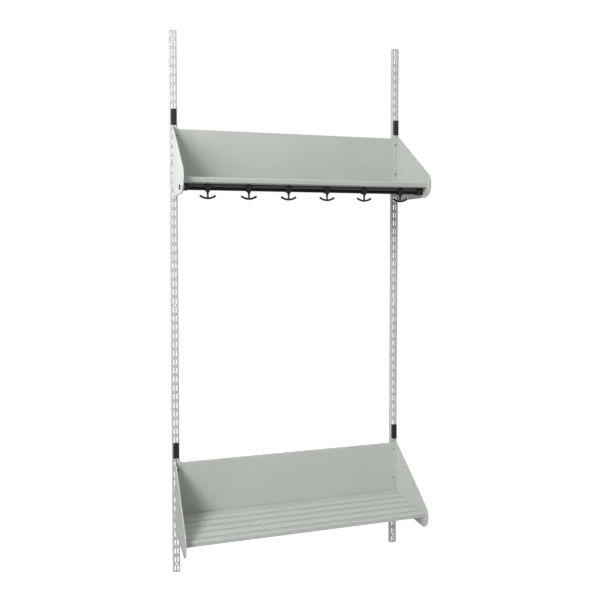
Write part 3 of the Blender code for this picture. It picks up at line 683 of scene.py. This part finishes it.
def coated(name, dark, light, rub, look):
    """A finish whose tone moves between two colours, lighter where rubbed and where dusty.

    look holds the scales of grain and clouds, the two roughnesses, the height of the
    grain, the amounts of rub and dust, and where they aren't the usual ones the metallic
    value and the specular level.
    """
    material = bpy.data.materials.new(name)
    material.use_nodes = True
    tree = material.node_tree
    shader = tree.nodes["Principled BSDF"]
    grain = joined(
        tree,
        "ShaderNodeGroup",
        {"node_tree": surface_grain},
        Grain=look["grain"],
        Clouds=look["clouds"],
    )
    grain.inputs["Roughness Low"].default_value = look["roughness"][0]
    grain.inputs["Roughness High"].default_value = look["roughness"][1]
    worn = joined(tree, "ShaderNodeGroup", {"node_tree": edge_rub}, Amount=look["rub"])
    dusty = joined(tree, "ShaderNodeGroup", {"node_tree": settled_dust}, Amount=look["dust"])
    tone = mixed_colour(tree, grain.outputs["Tone"], dark, light)
    rubbed = mixed_colour(tree, worn.outputs["Mask"], tone, rub)
    colour = mixed_colour(tree, dusty.outputs["Mask"], rubbed, DUST)
    tree.links.new(colour, shader.inputs["Base Color"])
    tree.links.new(grain.outputs["Roughness"], shader.inputs["Roughness"])
    bump = joined(
        tree, "ShaderNodeBump", Height=grain.outputs["Height"], Distance=look["height"]
    )
    tree.links.new(bump.outputs["Normal"], shader.inputs["Normal"])
    shader.inputs["Metallic"].default_value = look.get("metallic", 0.0)
    shader.inputs["Specular IOR Level"].default_value = look.get("specular", 0.5)
    return material


def paint_highlight_above(material, low, high, shade):
    """Paints a highlight into the base colour, mixing in a lighter shade where the height lies
    above a level.
    """
    tree = material.node_tree
    shader = tree.nodes["Principled BSDF"]
    before = shader.inputs["Base Color"].links[0].from_socket
    place = joined(tree, "ShaderNodeTexCoord")
    parts = joined(tree, "ShaderNodeSeparateXYZ", Vector=place.outputs["Object"])
    share = spread(tree, parts.outputs["Z"], low, high, 0.0, 1.0)
    tree.links.new(mixed_colour(tree, share, before, shade), shader.inputs["Base Color"])


surface_grain = make_coat_grain()
edge_rub = make_edge_rub()
settled_dust = make_settled_dust()

DUST = linear(205, 202, 196)
POWDER = {"grain": 520.0, "clouds": 5.0, "height": 0.00004, "rub": 0.35, "dust": 0.05}
MOULDED = {"grain": 1500.0, "clouds": 25.0, "height": 0.00003, "rub": 0.5, "dust": 0.05}

upright_paint = coated(
    "upright_powder_coat",
    linear(199, 200, 197),
    linear(204, 205, 202),
    linear(218, 218, 216),
    {**POWDER, "roughness": (0.38, 0.46)},
)
shelf_paint = coated(
    "shelf_powder_coat",
    linear(190, 195, 189),
    linear(195, 200, 194),
    linear(210, 215, 208),
    {**POWDER, "roughness": (0.22, 0.28)},
)
rail_black = coated(
    "rail_black_extrusion",
    linear(14, 14, 14),
    linear(20, 20, 20),
    linear(52, 52, 50),
    {**MOULDED, "grain": 900.0, "roughness": (0.30, 0.40), "specular": 0.2},
)
# The rail's upper band gets a painted highlight: light grey mixed into the black above a height.
paint_highlight_above(rail_black, RAIL_HIGHLIGHT_BAND[0], RAIL_HIGHLIGHT_BAND[1], linear(118, 119, 116))
moulded_black = coated(
    "moulded_black_plastic",
    linear(11, 11, 11),
    linear(17, 17, 17),
    linear(45, 45, 44),
    {**MOULDED, "roughness": (0.36, 0.50)},
)
dark_steel = coated(
    "dark_screw_steel",
    linear(70, 72, 70),
    linear(88, 90, 88),
    linear(140, 140, 138),
    {**MOULDED, "grain": 2500.0, "roughness": (0.35, 0.5), "metallic": 0.8},
)
bright_steel = coated(
    "bright_screw_steel",
    linear(176, 176, 174),
    linear(196, 196, 194),
    linear(220, 220, 218),
    {**MOULDED, "grain": 2500.0, "roughness": (0.25, 0.4), "metallic": 0.9},
)


# Uprights


def make_upright(side, sign):
    """A channel bent from sheet: its path (x, forward) times its height, with slots left out."""
    half = UPRIGHT_WIDTH / 2
    path, bend = rounded(
        [(-half, 0), (-half, UPRIGHT_DEPTH), (half, UPRIGHT_DEPTH), (half, 0)],
        UPRIGHT_BEND,
        5,
        closed=False,
    )
    inner, outer = SLOT_COLUMN - SLOT_WIDTH / 2, SLOT_COLUMN + SLOT_WIDTH / 2
    stops = np.array([(x, UPRIGHT_DEPTH) for x in (-outer, -inner, inner, outer)])
    middle = len(path) // 2
    path = np.concatenate([path[:middle], stops, path[middle:]])
    bend = np.concatenate([bend[:middle], np.zeros(4), bend[middle:]])
    rows = (np.arange(SLOT_COUNT) + 0.5) * SLOT_PITCH
    heights = np.stack([rows - SLOT_HEIGHT / 2, rows + SLOT_HEIGHT / 2], 1).reshape(-1)
    heights = np.concatenate([[0], heights, [SLOT_PITCH * SLOT_COUNT]])
    x = np.broadcast_to(sign * UPRIGHT_CENTRE + path[:, 0], (len(heights), len(path)))
    y = np.broadcast_to(-path[:, 1], x.shape)
    z = np.broadcast_to(heights[:, None], x.shape)
    points = np.stack([x, y, z], -1).reshape(-1, 3)
    faces = grid_faces(len(heights), len(path), round_columns=False)
    row = np.repeat(np.arange(len(heights) - 1), len(path) - 1)
    column = np.tile(np.arange(len(path) - 1), len(heights) - 1)
    slot = (row % 2 == 1) & ((column == middle) | (column == middle + 2))
    edges = np.broadcast_to(bend, x.shape).reshape(-1)
    mesh = mesh_of(f"{side}_upright_shape", [(points, faces[~slot].tolist(), edges)])
    piece = piece_from(f"{side}_upright", mesh, upright_paint)
    thickened(piece)
    softened(piece, UPRIGHT_SOFT_EDGE, UPRIGHT_SOFT_ANGLE)
    holes = [
        (sign * UPRIGHT_CENTRE, -UPRIGHT_DEPTH + SHEET / 2, row * SLOT_PITCH)
        for row in WALL_HOLE_ROWS
    ]
    cut_round(piece, holes, WALL_HOLE_RADIUS, 4 * SHEET)
    smooth(piece)


# Gables


def gable_outline():
    """The gable's (forward, height) outline: back edge, bottom, nose arc and straight slant."""
    run = NOSE_FORWARD - GABLE_BACK
    rise = GABLE_HEIGHT - NOSE_RADIUS
    radius = NOSE_RADIUS - NOSE_SHY
    slant = math.atan2(run, rise) + math.asin(radius / math.hypot(run, rise))
    turn = np.linspace(0, slant + math.pi / 2, GABLE_NOSE_STATIONS)
    nose = np.stack([NOSE_FORWARD + radius * np.sin(turn), NOSE_RADIUS - radius * np.cos(turn)], 1)
    tip = nose[-1] + 0.5 * ((GABLE_BACK, GABLE_HEIGHT) - nose[-1])
    corners = [tip, (GABLE_BACK, GABLE_HEIGHT), (GABLE_BACK, 0), (NOSE_FORWARD / 2, 0)]
    back, _ = rounded(corners, CORNER_RADIUS, 6, closed=False)
    notch = np.array([(GABLE_BACK, height) for height in NOTCH_HEIGHTS])
    back = np.concatenate([back[:8], notch, back[8:]])
    return np.concatenate([nose, back])


def make_gable(level, side, sign):
    """A folded sheet: its outline drawn in and set back along a quarter circle, then the rim.

    For a turn t round the fold the outline is drawn in by r (1 - sin t) and stands
    r (1 - cos t) behind the outer face, and the rim runs straight back from there.
    """
    node = f"{level}_{side}_gable"
    bottom = SHELF_BOTTOMS[level]
    outline, _ = counted_left(gable_outline(), np.zeros(1))
    turn = np.linspace(0, math.pi / 2, 6)
    insets = np.concatenate([[FOLD_RADIUS + FOLD_LAND], FOLD_RADIUS * (1 - np.sin(turn)), [0]])
    depths = np.concatenate([[0], FOLD_RADIUS * (1 - np.cos(turn)), [RIM_WIDTH]])
    folds = np.concatenate([[0], np.sin(2 * turn), [RIM_RUB_SHARE]])
    rings = np.stack([drawn_in(outline, distance) for distance in insets])
    x = np.broadcast_to(sign * (GABLE_FACE - depths)[:, None], rings.shape[:2])
    points = np.stack([x, -rings[..., 0], bottom + rings[..., 1]], -1).reshape(-1, 3)
    count = len(outline)
    faces = grid_faces(len(insets), count)
    ring = np.repeat(np.arange(len(insets) - 1), count)
    spot = (outline + np.roll(outline, -1, 0)) / 2
    open_back = spot[:, 0] < GABLE_BACK + 2 * SKIN
    open_back &= (spot[:, 1] > OPEN_BACK[0]) & (spot[:, 1] < OPEN_BACK[1])
    kept = ~((ring == len(insets) - 2) & np.tile(open_back, len(insets) - 1))
    faces = faces[kept].tolist() + [list(range(count))[::-1]]
    if sign < 0:
        faces = [face[::-1] for face in faces]
    edges = np.repeat(folds, count)
    mesh = mesh_of(f"{node}_shape", [(points, faces, edges)])
    piece = piece_from(node, mesh, shelf_paint)
    closed_up(piece.data, recalculate=False)
    thickened(piece)

    inner = sign * (GABLE_FACE - FLANGE_WIDTH)
    outer = sign * (GABLE_FACE - RIM_WIDTH / 2)
    low, high = bottom + FLANGE_BOTTOM, bottom + GABLE_HEIGHT - SHEET
    corners = [(inner, low), (outer, low), (outer, high), (inner, high)]
    outline, bend = rounded(corners, (FLANGE_CORNER, 0, 0, FLANGE_CORNER), 5)
    flange = carried(outline, bend, GABLE_BACK + SKIN, GABLE_BACK + SHEET - SKIN)
    shapes = [turned_to(flange, "face")]
    outline, bend = rounded(LUG_OUTLINE, LUG_RADII, 3)
    middle = sign * (GABLE_FACE - SHEET / 2)
    lug = carried(outline, bend, middle - LUG_HALF, middle + LUG_HALF, FINE_EDGE, 2)
    for height in LUG_HEIGHTS:
        shapes.append(turned_to(lug, "side", (0, 0, bottom + height)))
    add_shapes(piece, shapes)
    smooth(piece)


def add_shapes(piece, shapes):
    """Adds closed shapes to a piece's mesh, with their faces turned outwards."""
    more = mesh_of("more", shapes)
    closed_up(more)
    shape = bmesh.new()
    shape.from_mesh(piece.data)
    shape.from_mesh(more)
    shape.to_mesh(piece.data)
    shape.free()
    bpy.data.meshes.remove(more)


# Back plates, shelf panels and screws


def make_back_plate(level):
    """The plate's folded section, (forward, height), carried from gable to gable."""
    section = [
        (PLATE_FRONT, PLATE_BOTTOM),
        (PLATE_FRONT, PLATE_TOP),
        (PLATE_FRONT - PLATE_HEM_DEPTH, PLATE_TOP),
        (PLATE_FRONT - PLATE_HEM_DEPTH, PLATE_TOP - SHEET),
        (PLATE_FRONT - SHEET, PLATE_TOP - SHEET),
        (PLATE_FRONT - SHEET, PLATE_BOTTOM),
    ]
    radii = (CUT_EDGE, PLATE_OUTER_BEND, CUT_EDGE, CUT_EDGE, PLATE_INNER_BEND, CUT_EDGE)
    outline, bend = rounded(section, radii, 5)
    shape = carried(outline, bend, -INNER_HALF, INNER_HALF, END_EDGE, 2)
    solid_piece(
        f"{level}_back_plate",
        [turned_to(shape, "side", (0, 0, SHELF_BOTTOMS[level]))],
        shelf_paint,
    )


def bend_path(centre, radius, start, end, steps):
    """A right-hand bend, centre + r (-sin h, cos h) for a heading h: points, headings, folds."""
    heading = np.linspace(start, end, steps + 1)
    out = np.stack([-np.sin(heading), np.cos(heading)], 1)
    return np.asarray(centre) + radius * out, heading, np.sin(np.linspace(0, math.pi, steps + 1))


def make_shelf_panel(level):
    """One sheet from a back flange over pressed hollows to a folded front, carried across.

    Over the hollows the sheet's height is top - depth c^p, where c is (1 + cos t) / 2
    and t goes a full turn from land to land, so that rounded hollows lie between flat
    lands. The underside lies one sheet to the right of the path, which is
    (sin h, -cos h) for a heading h.
    """
    quarter = math.pi / 2
    back = (PANEL_BACK + PANEL_BEND, PANEL_TOP - PANEL_BEND)
    front = (PANEL_FRONT - PANEL_FRONT_BEND, PANEL_TOP - PANEL_FRONT_BEND)
    forward = np.linspace(back[0], front[0], PANEL_STATIONS)
    turn = 2 * math.pi * (forward - HOLLOW_START) / HOLLOW_PITCH
    pressed = (turn > -math.pi) & (turn < (2 * HOLLOW_COUNT - 1) * math.pi)
    hollow = ((1 + np.cos(turn)) / 2 * pressed) ** HOLLOW_POWER
    height = PANEL_TOP - HOLLOW_DEPTH * hollow
    top = np.stack([forward, height], 1)
    headings = np.arctan(np.gradient(height, forward))
    bottom = PANEL_TOP - PANEL_FACE_HEIGHT
    under = (PANEL_FRONT - PANEL_BEND, bottom + PANEL_BEND)
    pieces = [
        (np.array([(PANEL_BACK, PANEL_TOP - PANEL_FLANGE)]), np.array([quarter]), np.zeros(1)),
        bend_path(back, PANEL_BEND, quarter, 0, 6),
        (top[1:-1], headings[1:-1], np.zeros(len(forward) - 2)),
        tuple(value[1:] for value in bend_path(front, PANEL_FRONT_BEND, 0, -quarter, 10)),
        bend_path(under, PANEL_BEND, -quarter, -math.pi, 7),
        (np.array([(PANEL_FRONT - PANEL_RETURN, bottom)]), np.array([-math.pi]), np.zeros(1)),
    ]
    path, heading, folds = (np.concatenate(values) for values in zip(*pieces))
    inner = path + SHEET * np.stack([np.sin(heading), -np.cos(heading)], 1)
    corners = np.concatenate([path, inner[::-1]])
    radii = np.zeros(len(corners))
    radii[[0, len(path) - 1, len(path), -1]] = CUT_EDGE
    steps = 4
    outline, bend = rounded(corners, radii, steps)
    folds = np.concatenate([folds, folds[::-1]])
    own = np.repeat(folds, np.where(radii > 0, steps + 1, 1))
    shape = carried(outline, np.maximum(bend, own), -INNER_HALF, INNER_HALF, END_EDGE, 3)
    solid_piece(
        f"{level}_shelf_panel",
        [turned_to(shape, "side", (0, 0, SHELF_BOTTOMS[level]))],
        shelf_paint,
    )


def screw_shape(shank, length, head, rise):
    """A pan head with a cross recess over a threaded shank.

    The head's height is rise times the root of one minus the fourth power of r, and the
    recess sinks it where either arm of the cross passes. The shank's radius falls
    by a share of the thread's depth that winds once round per pitch.
    """
    share = np.linspace(1, 0, HEAD_RINGS)
    angle = np.arange(SCREW_TURNS) * (2 * math.pi / SCREW_TURNS)
    radius = head * share[:, None] + 0 * angle
    x, y = radius * np.cos(angle), radius * np.sin(angle)
    arm, reach = head * CROSS_WIDTH_SHARE, head * CROSS_REACH_SHARE
    slope = CROSS_SLOPE_SHARE * arm
    along_x = np.clip((arm - np.abs(y)) / slope, 0, 1) * np.clip((reach - np.abs(x)) / slope, 0, 1)
    along_y = np.clip((arm - np.abs(x)) / slope, 0, 1) * np.clip((reach - np.abs(y)) / slope, 0, 1)
    height = rise * np.sqrt(np.clip(1 - share[:, None] ** 4, 0, 1)) + 0 * angle
    height = height - CROSS_DEPTH_SHARE * rise * np.maximum(along_x, along_y)
    top = np.stack([x, y, height], -1)
    drop = np.linspace(-length, -THREAD_END, THREAD_RINGS)
    taper = np.clip((drop + length) / POINT_LENGTH, POINT_SHARE, 1)[:, None]
    wind = np.abs((drop[:, None] / THREAD_PITCH + angle / (2 * math.pi)) % 1 - 0.5) * 2
    ring = shank * taper - THREAD_DEPTH * wind * taper
    body = np.stack([ring * np.cos(angle), ring * np.sin(angle), drop[:, None] + 0 * angle], -1)
    end = body[:1] * (0, 0, 1)
    under = np.stack([shank * np.cos(angle), shank * np.sin(angle), 0 * angle], -1)[None]
    neck = under - (0, 0, SCREW_NECK)
    points = np.concatenate([end, body, neck, under, top])
    rim = np.where(share > HEAD_RIM_SHARE, HEAD_RIM_SHARE, 0)
    edges = np.concatenate([np.zeros(len(points) - len(share)), rim])
    return (
        points.reshape(-1, 3),
        grid_faces(len(points), SCREW_TURNS).tolist(),
        np.repeat(edges, SCREW_TURNS),
    )


def make_screws():
    """Eight dark screws before the gables' flanges, and a bright one in each end bracket."""
    seat = GABLE_BACK + SHEET + GAP
    for level, bottom in SHELF_BOTTOMS.items():
        for side, sign in SIDES.items():
            for end, height in SCREW_HEIGHTS.items():
                shape = screw_shape(*PLATE_SCREW)
                place = (sign * SCREW_OUT, -seat, bottom + height)
                node = f"{level}_{side}_{end}_plate_screw"
                solid_piece(node, [turned_to(shape, "front", place)], dark_steel)
    for side, sign in SIDES.items():
        low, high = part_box(f"{side}_bracket_screw")
        shape = screw_shape(*BRACKET_SCREW)
        place = ((low[0] + high[0]) / 2, low[1] + BRACKET_SCREW[3], (low[2] + high[2]) / 2)
        solid_piece(f"{side}_bracket_screw", [turned_to(shape, "front", place)], bright_steel)


# Hook rail


def make_rail():
    """The rail's section, (forward, height): a half round nose, a flat back and a T groove."""
    bottom, top = RAIL_HEIGHT - RAIL_NOSE, RAIL_HEIGHT + RAIL_NOSE
    neck_left, neck_right = GROOVE_FORWARD - GROOVE_NECK_HALF, GROOVE_FORWARD + GROOVE_NECK_HALF
    head_left, head_right = GROOVE_FORWARD - GROOVE_HEAD_HALF, GROOVE_FORWARD + GROOVE_HEAD_HALF
    groove = [
        (RAIL_BACK, top),
        (RAIL_BACK, bottom),
        (neck_left, bottom),
        (neck_left, bottom + GROOVE_NECK_TOP),
        (head_left, bottom + GROOVE_NECK_TOP),
        (head_left, bottom + GROOVE_HEAD_TOP),
        (head_right, bottom + GROOVE_HEAD_TOP),
        (head_right, bottom + GROOVE_NECK_TOP),
        (neck_right, bottom + GROOVE_NECK_TOP),
        (neck_right, bottom + GROOVE_CUT),
    ]
    outline, bend = rounded(groove, GROOVE_RADII, 3)
    turn = np.linspace(RAIL_NOSE_START, math.pi, RAIL_NOSE_STATIONS)
    nose = np.stack(
        [RAIL_FORWARD + RAIL_NOSE * np.sin(turn), RAIL_HEIGHT - RAIL_NOSE * np.cos(turn)], 1
    )
    outline = np.concatenate([outline, nose])
    bend = np.concatenate([bend, np.zeros(len(nose))])
    shape = carried(outline, bend, -RAIL_HALF, RAIL_HALF, FINE_EDGE, 2)
    solid_piece("hook_rail", [turned_to(shape, "side", (0, 0, SHELF_BOTTOMS["upper"]))], rail_black)


def make_end_bracket(side, sign):
    """A rounded block with two headed pins and a tongue in the groove."""
    bottom = SHELF_BOTTOMS["upper"]
    near, far = sorted((sign * (RAIL_HALF + GAP), sign * INNER_HALF))
    outline, bend = rounded(BRACKET_OUTLINE, BRACKET_RADII, 6)
    body = carried(outline, bend, near, far, BRACKET_END_EDGE, 4)
    shapes = [turned_to(body, "side", (0, 0, bottom))]
    across = sorted((sign * (RAIL_HALF - TONGUE_INSIDE), sign * (RAIL_HALF + TONGUE_OUTSIDE)))
    forward = (GROOVE_FORWARD - TONGUE_HALF, GROOVE_FORWARD + TONGUE_HALF)
    height = [bottom + level for level in TONGUE_HEIGHTS]
    shapes.append(block(across, forward, height, TONGUE_CORNER, TONGUE_EDGE))
    pin, turn = rounded(PIN_PROFILE, PIN_RADII, 4, closed=False)
    for height in PIN_HEIGHTS:
        place = (sign * (GABLE_FACE + GAP), -PIN_FORWARD, bottom + height)
        shapes.append(turned_to(revolved(pin, turn, 40), "right" if sign > 0 else "left", place))
    solid_piece(f"{side}_rail_end_bracket", shapes, moulded_black)


# Hooks


def carrier_shapes(x, bottom):
    """A collar with a flared foot, a domed disc before the rail, their web and the key."""
    collar, bend = rounded(COLLAR_PROFILE, COLLAR_RADII, 5, closed=False)
    shapes = [turned_to(revolved(collar, bend, 48), "up", (x, -HOOK_STEM, bottom))]
    disc, bend = rounded(DISC_PROFILE, DISC_RADII, 5, closed=False)
    place = (x, -(RAIL_FORWARD + RAIL_NOSE + GAP), bottom + RAIL_HEIGHT)
    shapes.append(turned_to(revolved(disc, bend, 56), "front", place))
    for half, forward, (low, high), corner, edge in CARRIER_BLOCKS.values():
        height = (bottom + low, bottom + high)
        shapes.append(block((x - half, x + half), forward, height, corner, edge))
    return shapes


def hook_shapes(x, bottom):
    """An anchor: a waisted stem, and two arms on one bend that swell a little at their tips.

    The arms' centre line is (R sin a, R (1 - cos a)) for angles a either side of the
    stem, and their radius is r (1 + swell s^4) times a half circle over the last tip, for s
    from 0 at the stem to 1 at the tip.
    """
    stem, bend = rounded(STEM_PROFILE, STEM_RADII, 5, closed=False)
    shapes = [turned_to(revolved(stem, bend, 40), "up", (x, -HOOK_STEM, bottom))]
    reach = math.asin(ARM_REACH / ARM_BEND)
    whole = reach + ARM_RADIUS / ARM_BEND
    angle = whole * np.sin(np.linspace(-math.pi / 2, math.pi / 2, ARM_STATIONS))
    share = np.abs(angle) / whole
    beyond = np.clip((np.abs(angle) - reach) / (whole - reach), 0, 1)
    radius = ARM_RADIUS * (1 + ARM_SWELL_SHARE * share**4) * np.sqrt(np.clip(1 - beyond**2, 0, 1))
    zero = np.zeros_like(angle)
    centres = np.stack(
        [
            x + ARM_BEND * np.sin(angle),
            zero - HOOK_STEM,
            bottom - CROWN_DROP + ARM_BEND * (1 - np.cos(angle)),
        ],
        1,
    )
    normals = np.stack([-np.sin(angle), zero, np.cos(angle)], 1)
    shapes.append(swept(centres, normals, radius, 28))
    return shapes


def make_hooks():
    """The carriers along the rail, each with the anchor hook that turns in it."""
    bottom = SHELF_BOTTOMS["upper"]
    places = np.linspace(-HOOK_SPREAD / 2, HOOK_SPREAD / 2, HOOK_COUNT)
    for number, x in enumerate(places, start=1):
        shapes = carrier_shapes(x, bottom)
        solid_piece(f"hook_carrier_{number}", shapes, moulded_black, f"carrier_{number}")
        shapes = hook_shapes(x, bottom)
        solid_piece(f"anchor_hook_{number}", shapes, moulded_black, f"hook_{number}")


# Lock clips


def make_clip(level, side, sign):
    """A rounded cover with finger ribs, and two tabs that sit in the slots.

    The cover's front gives way by depth (1 - cos t) / 2 over the band of ribs, where t goes
    a full turn for each rib, so the ribs are part of the one surface.
    """
    node = f"{level}_{side}_lock_clip"
    low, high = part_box(node)
    back, front = UPRIGHT_DEPTH + GAP, -low[1]
    corners = [(low[0], -back), (high[0], -back), (high[0], -front), (low[0], -front)]
    outline, bend = rounded(corners, CLIP_RADII, 6)
    outline, bend = counted_left(outline, bend)
    turn = np.linspace(0, math.pi / 2, 5)
    along, inset = CLIP_END_EDGE * (1 - np.cos(turn)), CLIP_END_EDGE * (1 - np.sin(turn))
    straight = 3 * CLIP_END_EDGE
    inner = np.linspace(low[2] + straight, high[2] - straight, CLIP_STATIONS)
    places = np.concatenate([low[2] + along, inner, (high[2] - along)[::-1]])
    insets = np.concatenate([inset, 0 * inner, inset[::-1]])
    rings = np.stack([drawn_in(outline, distance) for distance in insets])
    share = (places - low[2]) / (high[2] - low[2])
    start, stop = RIB_BAND_SHARES
    band = (share > start) & (share < stop)
    wave = np.cos((share - start) / (stop - start) * 2 * math.pi * RIB_COUNT)
    rib = RIB_DEPTH * band * (0.5 - 0.5 * wave)
    facing = np.clip((-outline[:, 1] - back) / (front - back), 0, 1) ** 4
    rings[..., 1] += rib[:, None] * facing[None, :]
    height = np.broadcast_to(places[:, None, None], rings.shape[:2] + (1,))
    points = np.concatenate([rings, height], -1).reshape(-1, 3)
    count = len(outline)
    faces = grid_faces(len(places), count).tolist()
    faces += [list(range(count))[::-1], list(range(len(points) - count, len(points)))]
    edges = np.broadcast_to(CLIP_RUB_SHARE * bend, rings.shape[:2]).reshape(-1)
    shapes = [(points, faces, edges)]
    middle = SHELF_BOTTOMS[level] + TAB_HEIGHT
    forward = (TAB_BACK, back + TAB_OVERLAP)
    height = (middle - TAB_RISE, middle + TAB_RISE)
    for column in (-SLOT_COLUMN, SLOT_COLUMN):
        centre = sign * UPRIGHT_CENTRE + column
        across = (centre - TAB_HALF, centre + TAB_HALF)
        shapes.append(block(across, forward, height, TAB_CORNER, TAB_EDGE))
    solid_piece(node, shapes, moulded_black)


# Stage, light and camera


def make_floor():
    """A pale floor that stays white to the camera and keeps the unit's shadow."""
    mesh = bpy.data.meshes.new("studio_floor")
    ends = ((-1, -1), (1, -1), (1, 1), (-1, 1))
    corners = [(FLOOR_HALF * across, FLOOR_HALF * along, FLOOR_HEIGHT) for across, along in ends]
    mesh.from_pydata(corners, [], [(0, 1, 2, 3)])
    floor = bpy.data.objects.new("studio_floor", mesh)
    bpy.context.scene.collection.objects.link(floor)
    material = bpy.data.materials.new("studio_floor_white")
    material.use_nodes = True
    tree = material.node_tree
    shader = tree.nodes["Principled BSDF"]
    shader.inputs["Base Color"].default_value = (FLOOR_SHADE, FLOOR_SHADE, FLOOR_SHADE, 1)
    shader.inputs["Roughness"].default_value = 0.9
    shader.inputs["Specular IOR Level"].default_value = 0.1
    shader.inputs["Emission Color"].default_value = (1, 1, 1, 1)
    path = tree.nodes.new("ShaderNodeLightPath")
    camera, through = path.outputs["Is Camera Ray"], path.outputs["Is Transmission Ray"]
    seen = times(tree, camera, through, "MAXIMUM")
    tree.links.new(times(tree, seen, FLOOR_GLOW), shader.inputs["Emission Strength"])
    floor.data.materials.append(material)


def make_world():
    """A white background, and a dimmer even light from it."""
    world = bpy.data.worlds.new("studio")
    bpy.context.scene.world = world
    world.use_nodes = True
    tree = world.node_tree
    ground = tree.nodes["Background"]
    ground.inputs["Color"].default_value = (1, 1, 1, 1)
    path = tree.nodes.new("ShaderNodeLightPath")
    seen = times(tree, path.outputs["Is Camera Ray"], path.outputs["Is Glossy Ray"], "MAXIMUM")
    seen = times(tree, seen, path.outputs["Is Transmission Ray"], "MAXIMUM")
    tree.links.new(spread(tree, seen, 0.0, 1.0, WORLD_LIGHT, 1.0), ground.inputs["Strength"])


def make_lamp(name, place, target, size, power, spread_angle):
    """A rectangular softbox that looks from its place at a target."""
    lamp = bpy.data.lights.new(name, "AREA")
    lamp.shape = "RECTANGLE"
    lamp.size, lamp.size_y = size
    lamp.energy = power
    lamp.spread = math.radians(spread_angle)
    obj = bpy.data.objects.new(name, lamp)
    place, target = np.array(place, float), np.array(target, float)
    reach = target - place
    obj.location = place
    obj.rotation_euler = (
        math.atan2(math.hypot(reach[0], reach[1]), -reach[2]),
        0,
        math.atan2(reach[0], -reach[1]) + math.pi,
    )
    bpy.context.scene.collection.objects.link(obj)


def make_camera():
    """The photograph's viewpoint."""
    camera = bpy.data.cameras.new("photo_camera")
    camera.sensor_width = 36
    camera.lens = CAMERA_LENS
    camera.shift_y = CAMERA_SHIFT
    camera.clip_start, camera.clip_end = 0.05, 200
    obj = bpy.data.objects.new("photo_camera", camera)
    obj.location = CAMERA_PLACE
    obj.rotation_euler = (math.radians(90 - CAMERA_DIP), 0, math.radians(CAMERA_TURN))
    bpy.context.scene.collection.objects.link(obj)
    bpy.context.scene.camera = obj


make_camera()
for side_name, side_sign in SIDES.items():
    make_upright(side_name, side_sign)
    make_end_bracket(side_name, side_sign)
    for level_name in SHELF_BOTTOMS:
        make_gable(level_name, side_name, side_sign)
        make_clip(level_name, side_name, side_sign)
for level_name in SHELF_BOTTOMS:
    make_back_plate(level_name)
    make_shelf_panel(level_name)
make_screws()
make_rail()
make_hooks()

make_floor()
make_world()
for lamp_name, lamp_values in LAMPS.items():
    make_lamp(lamp_name, *lamp_values)
bpy.context.scene.view_settings.view_transform = "Standard"
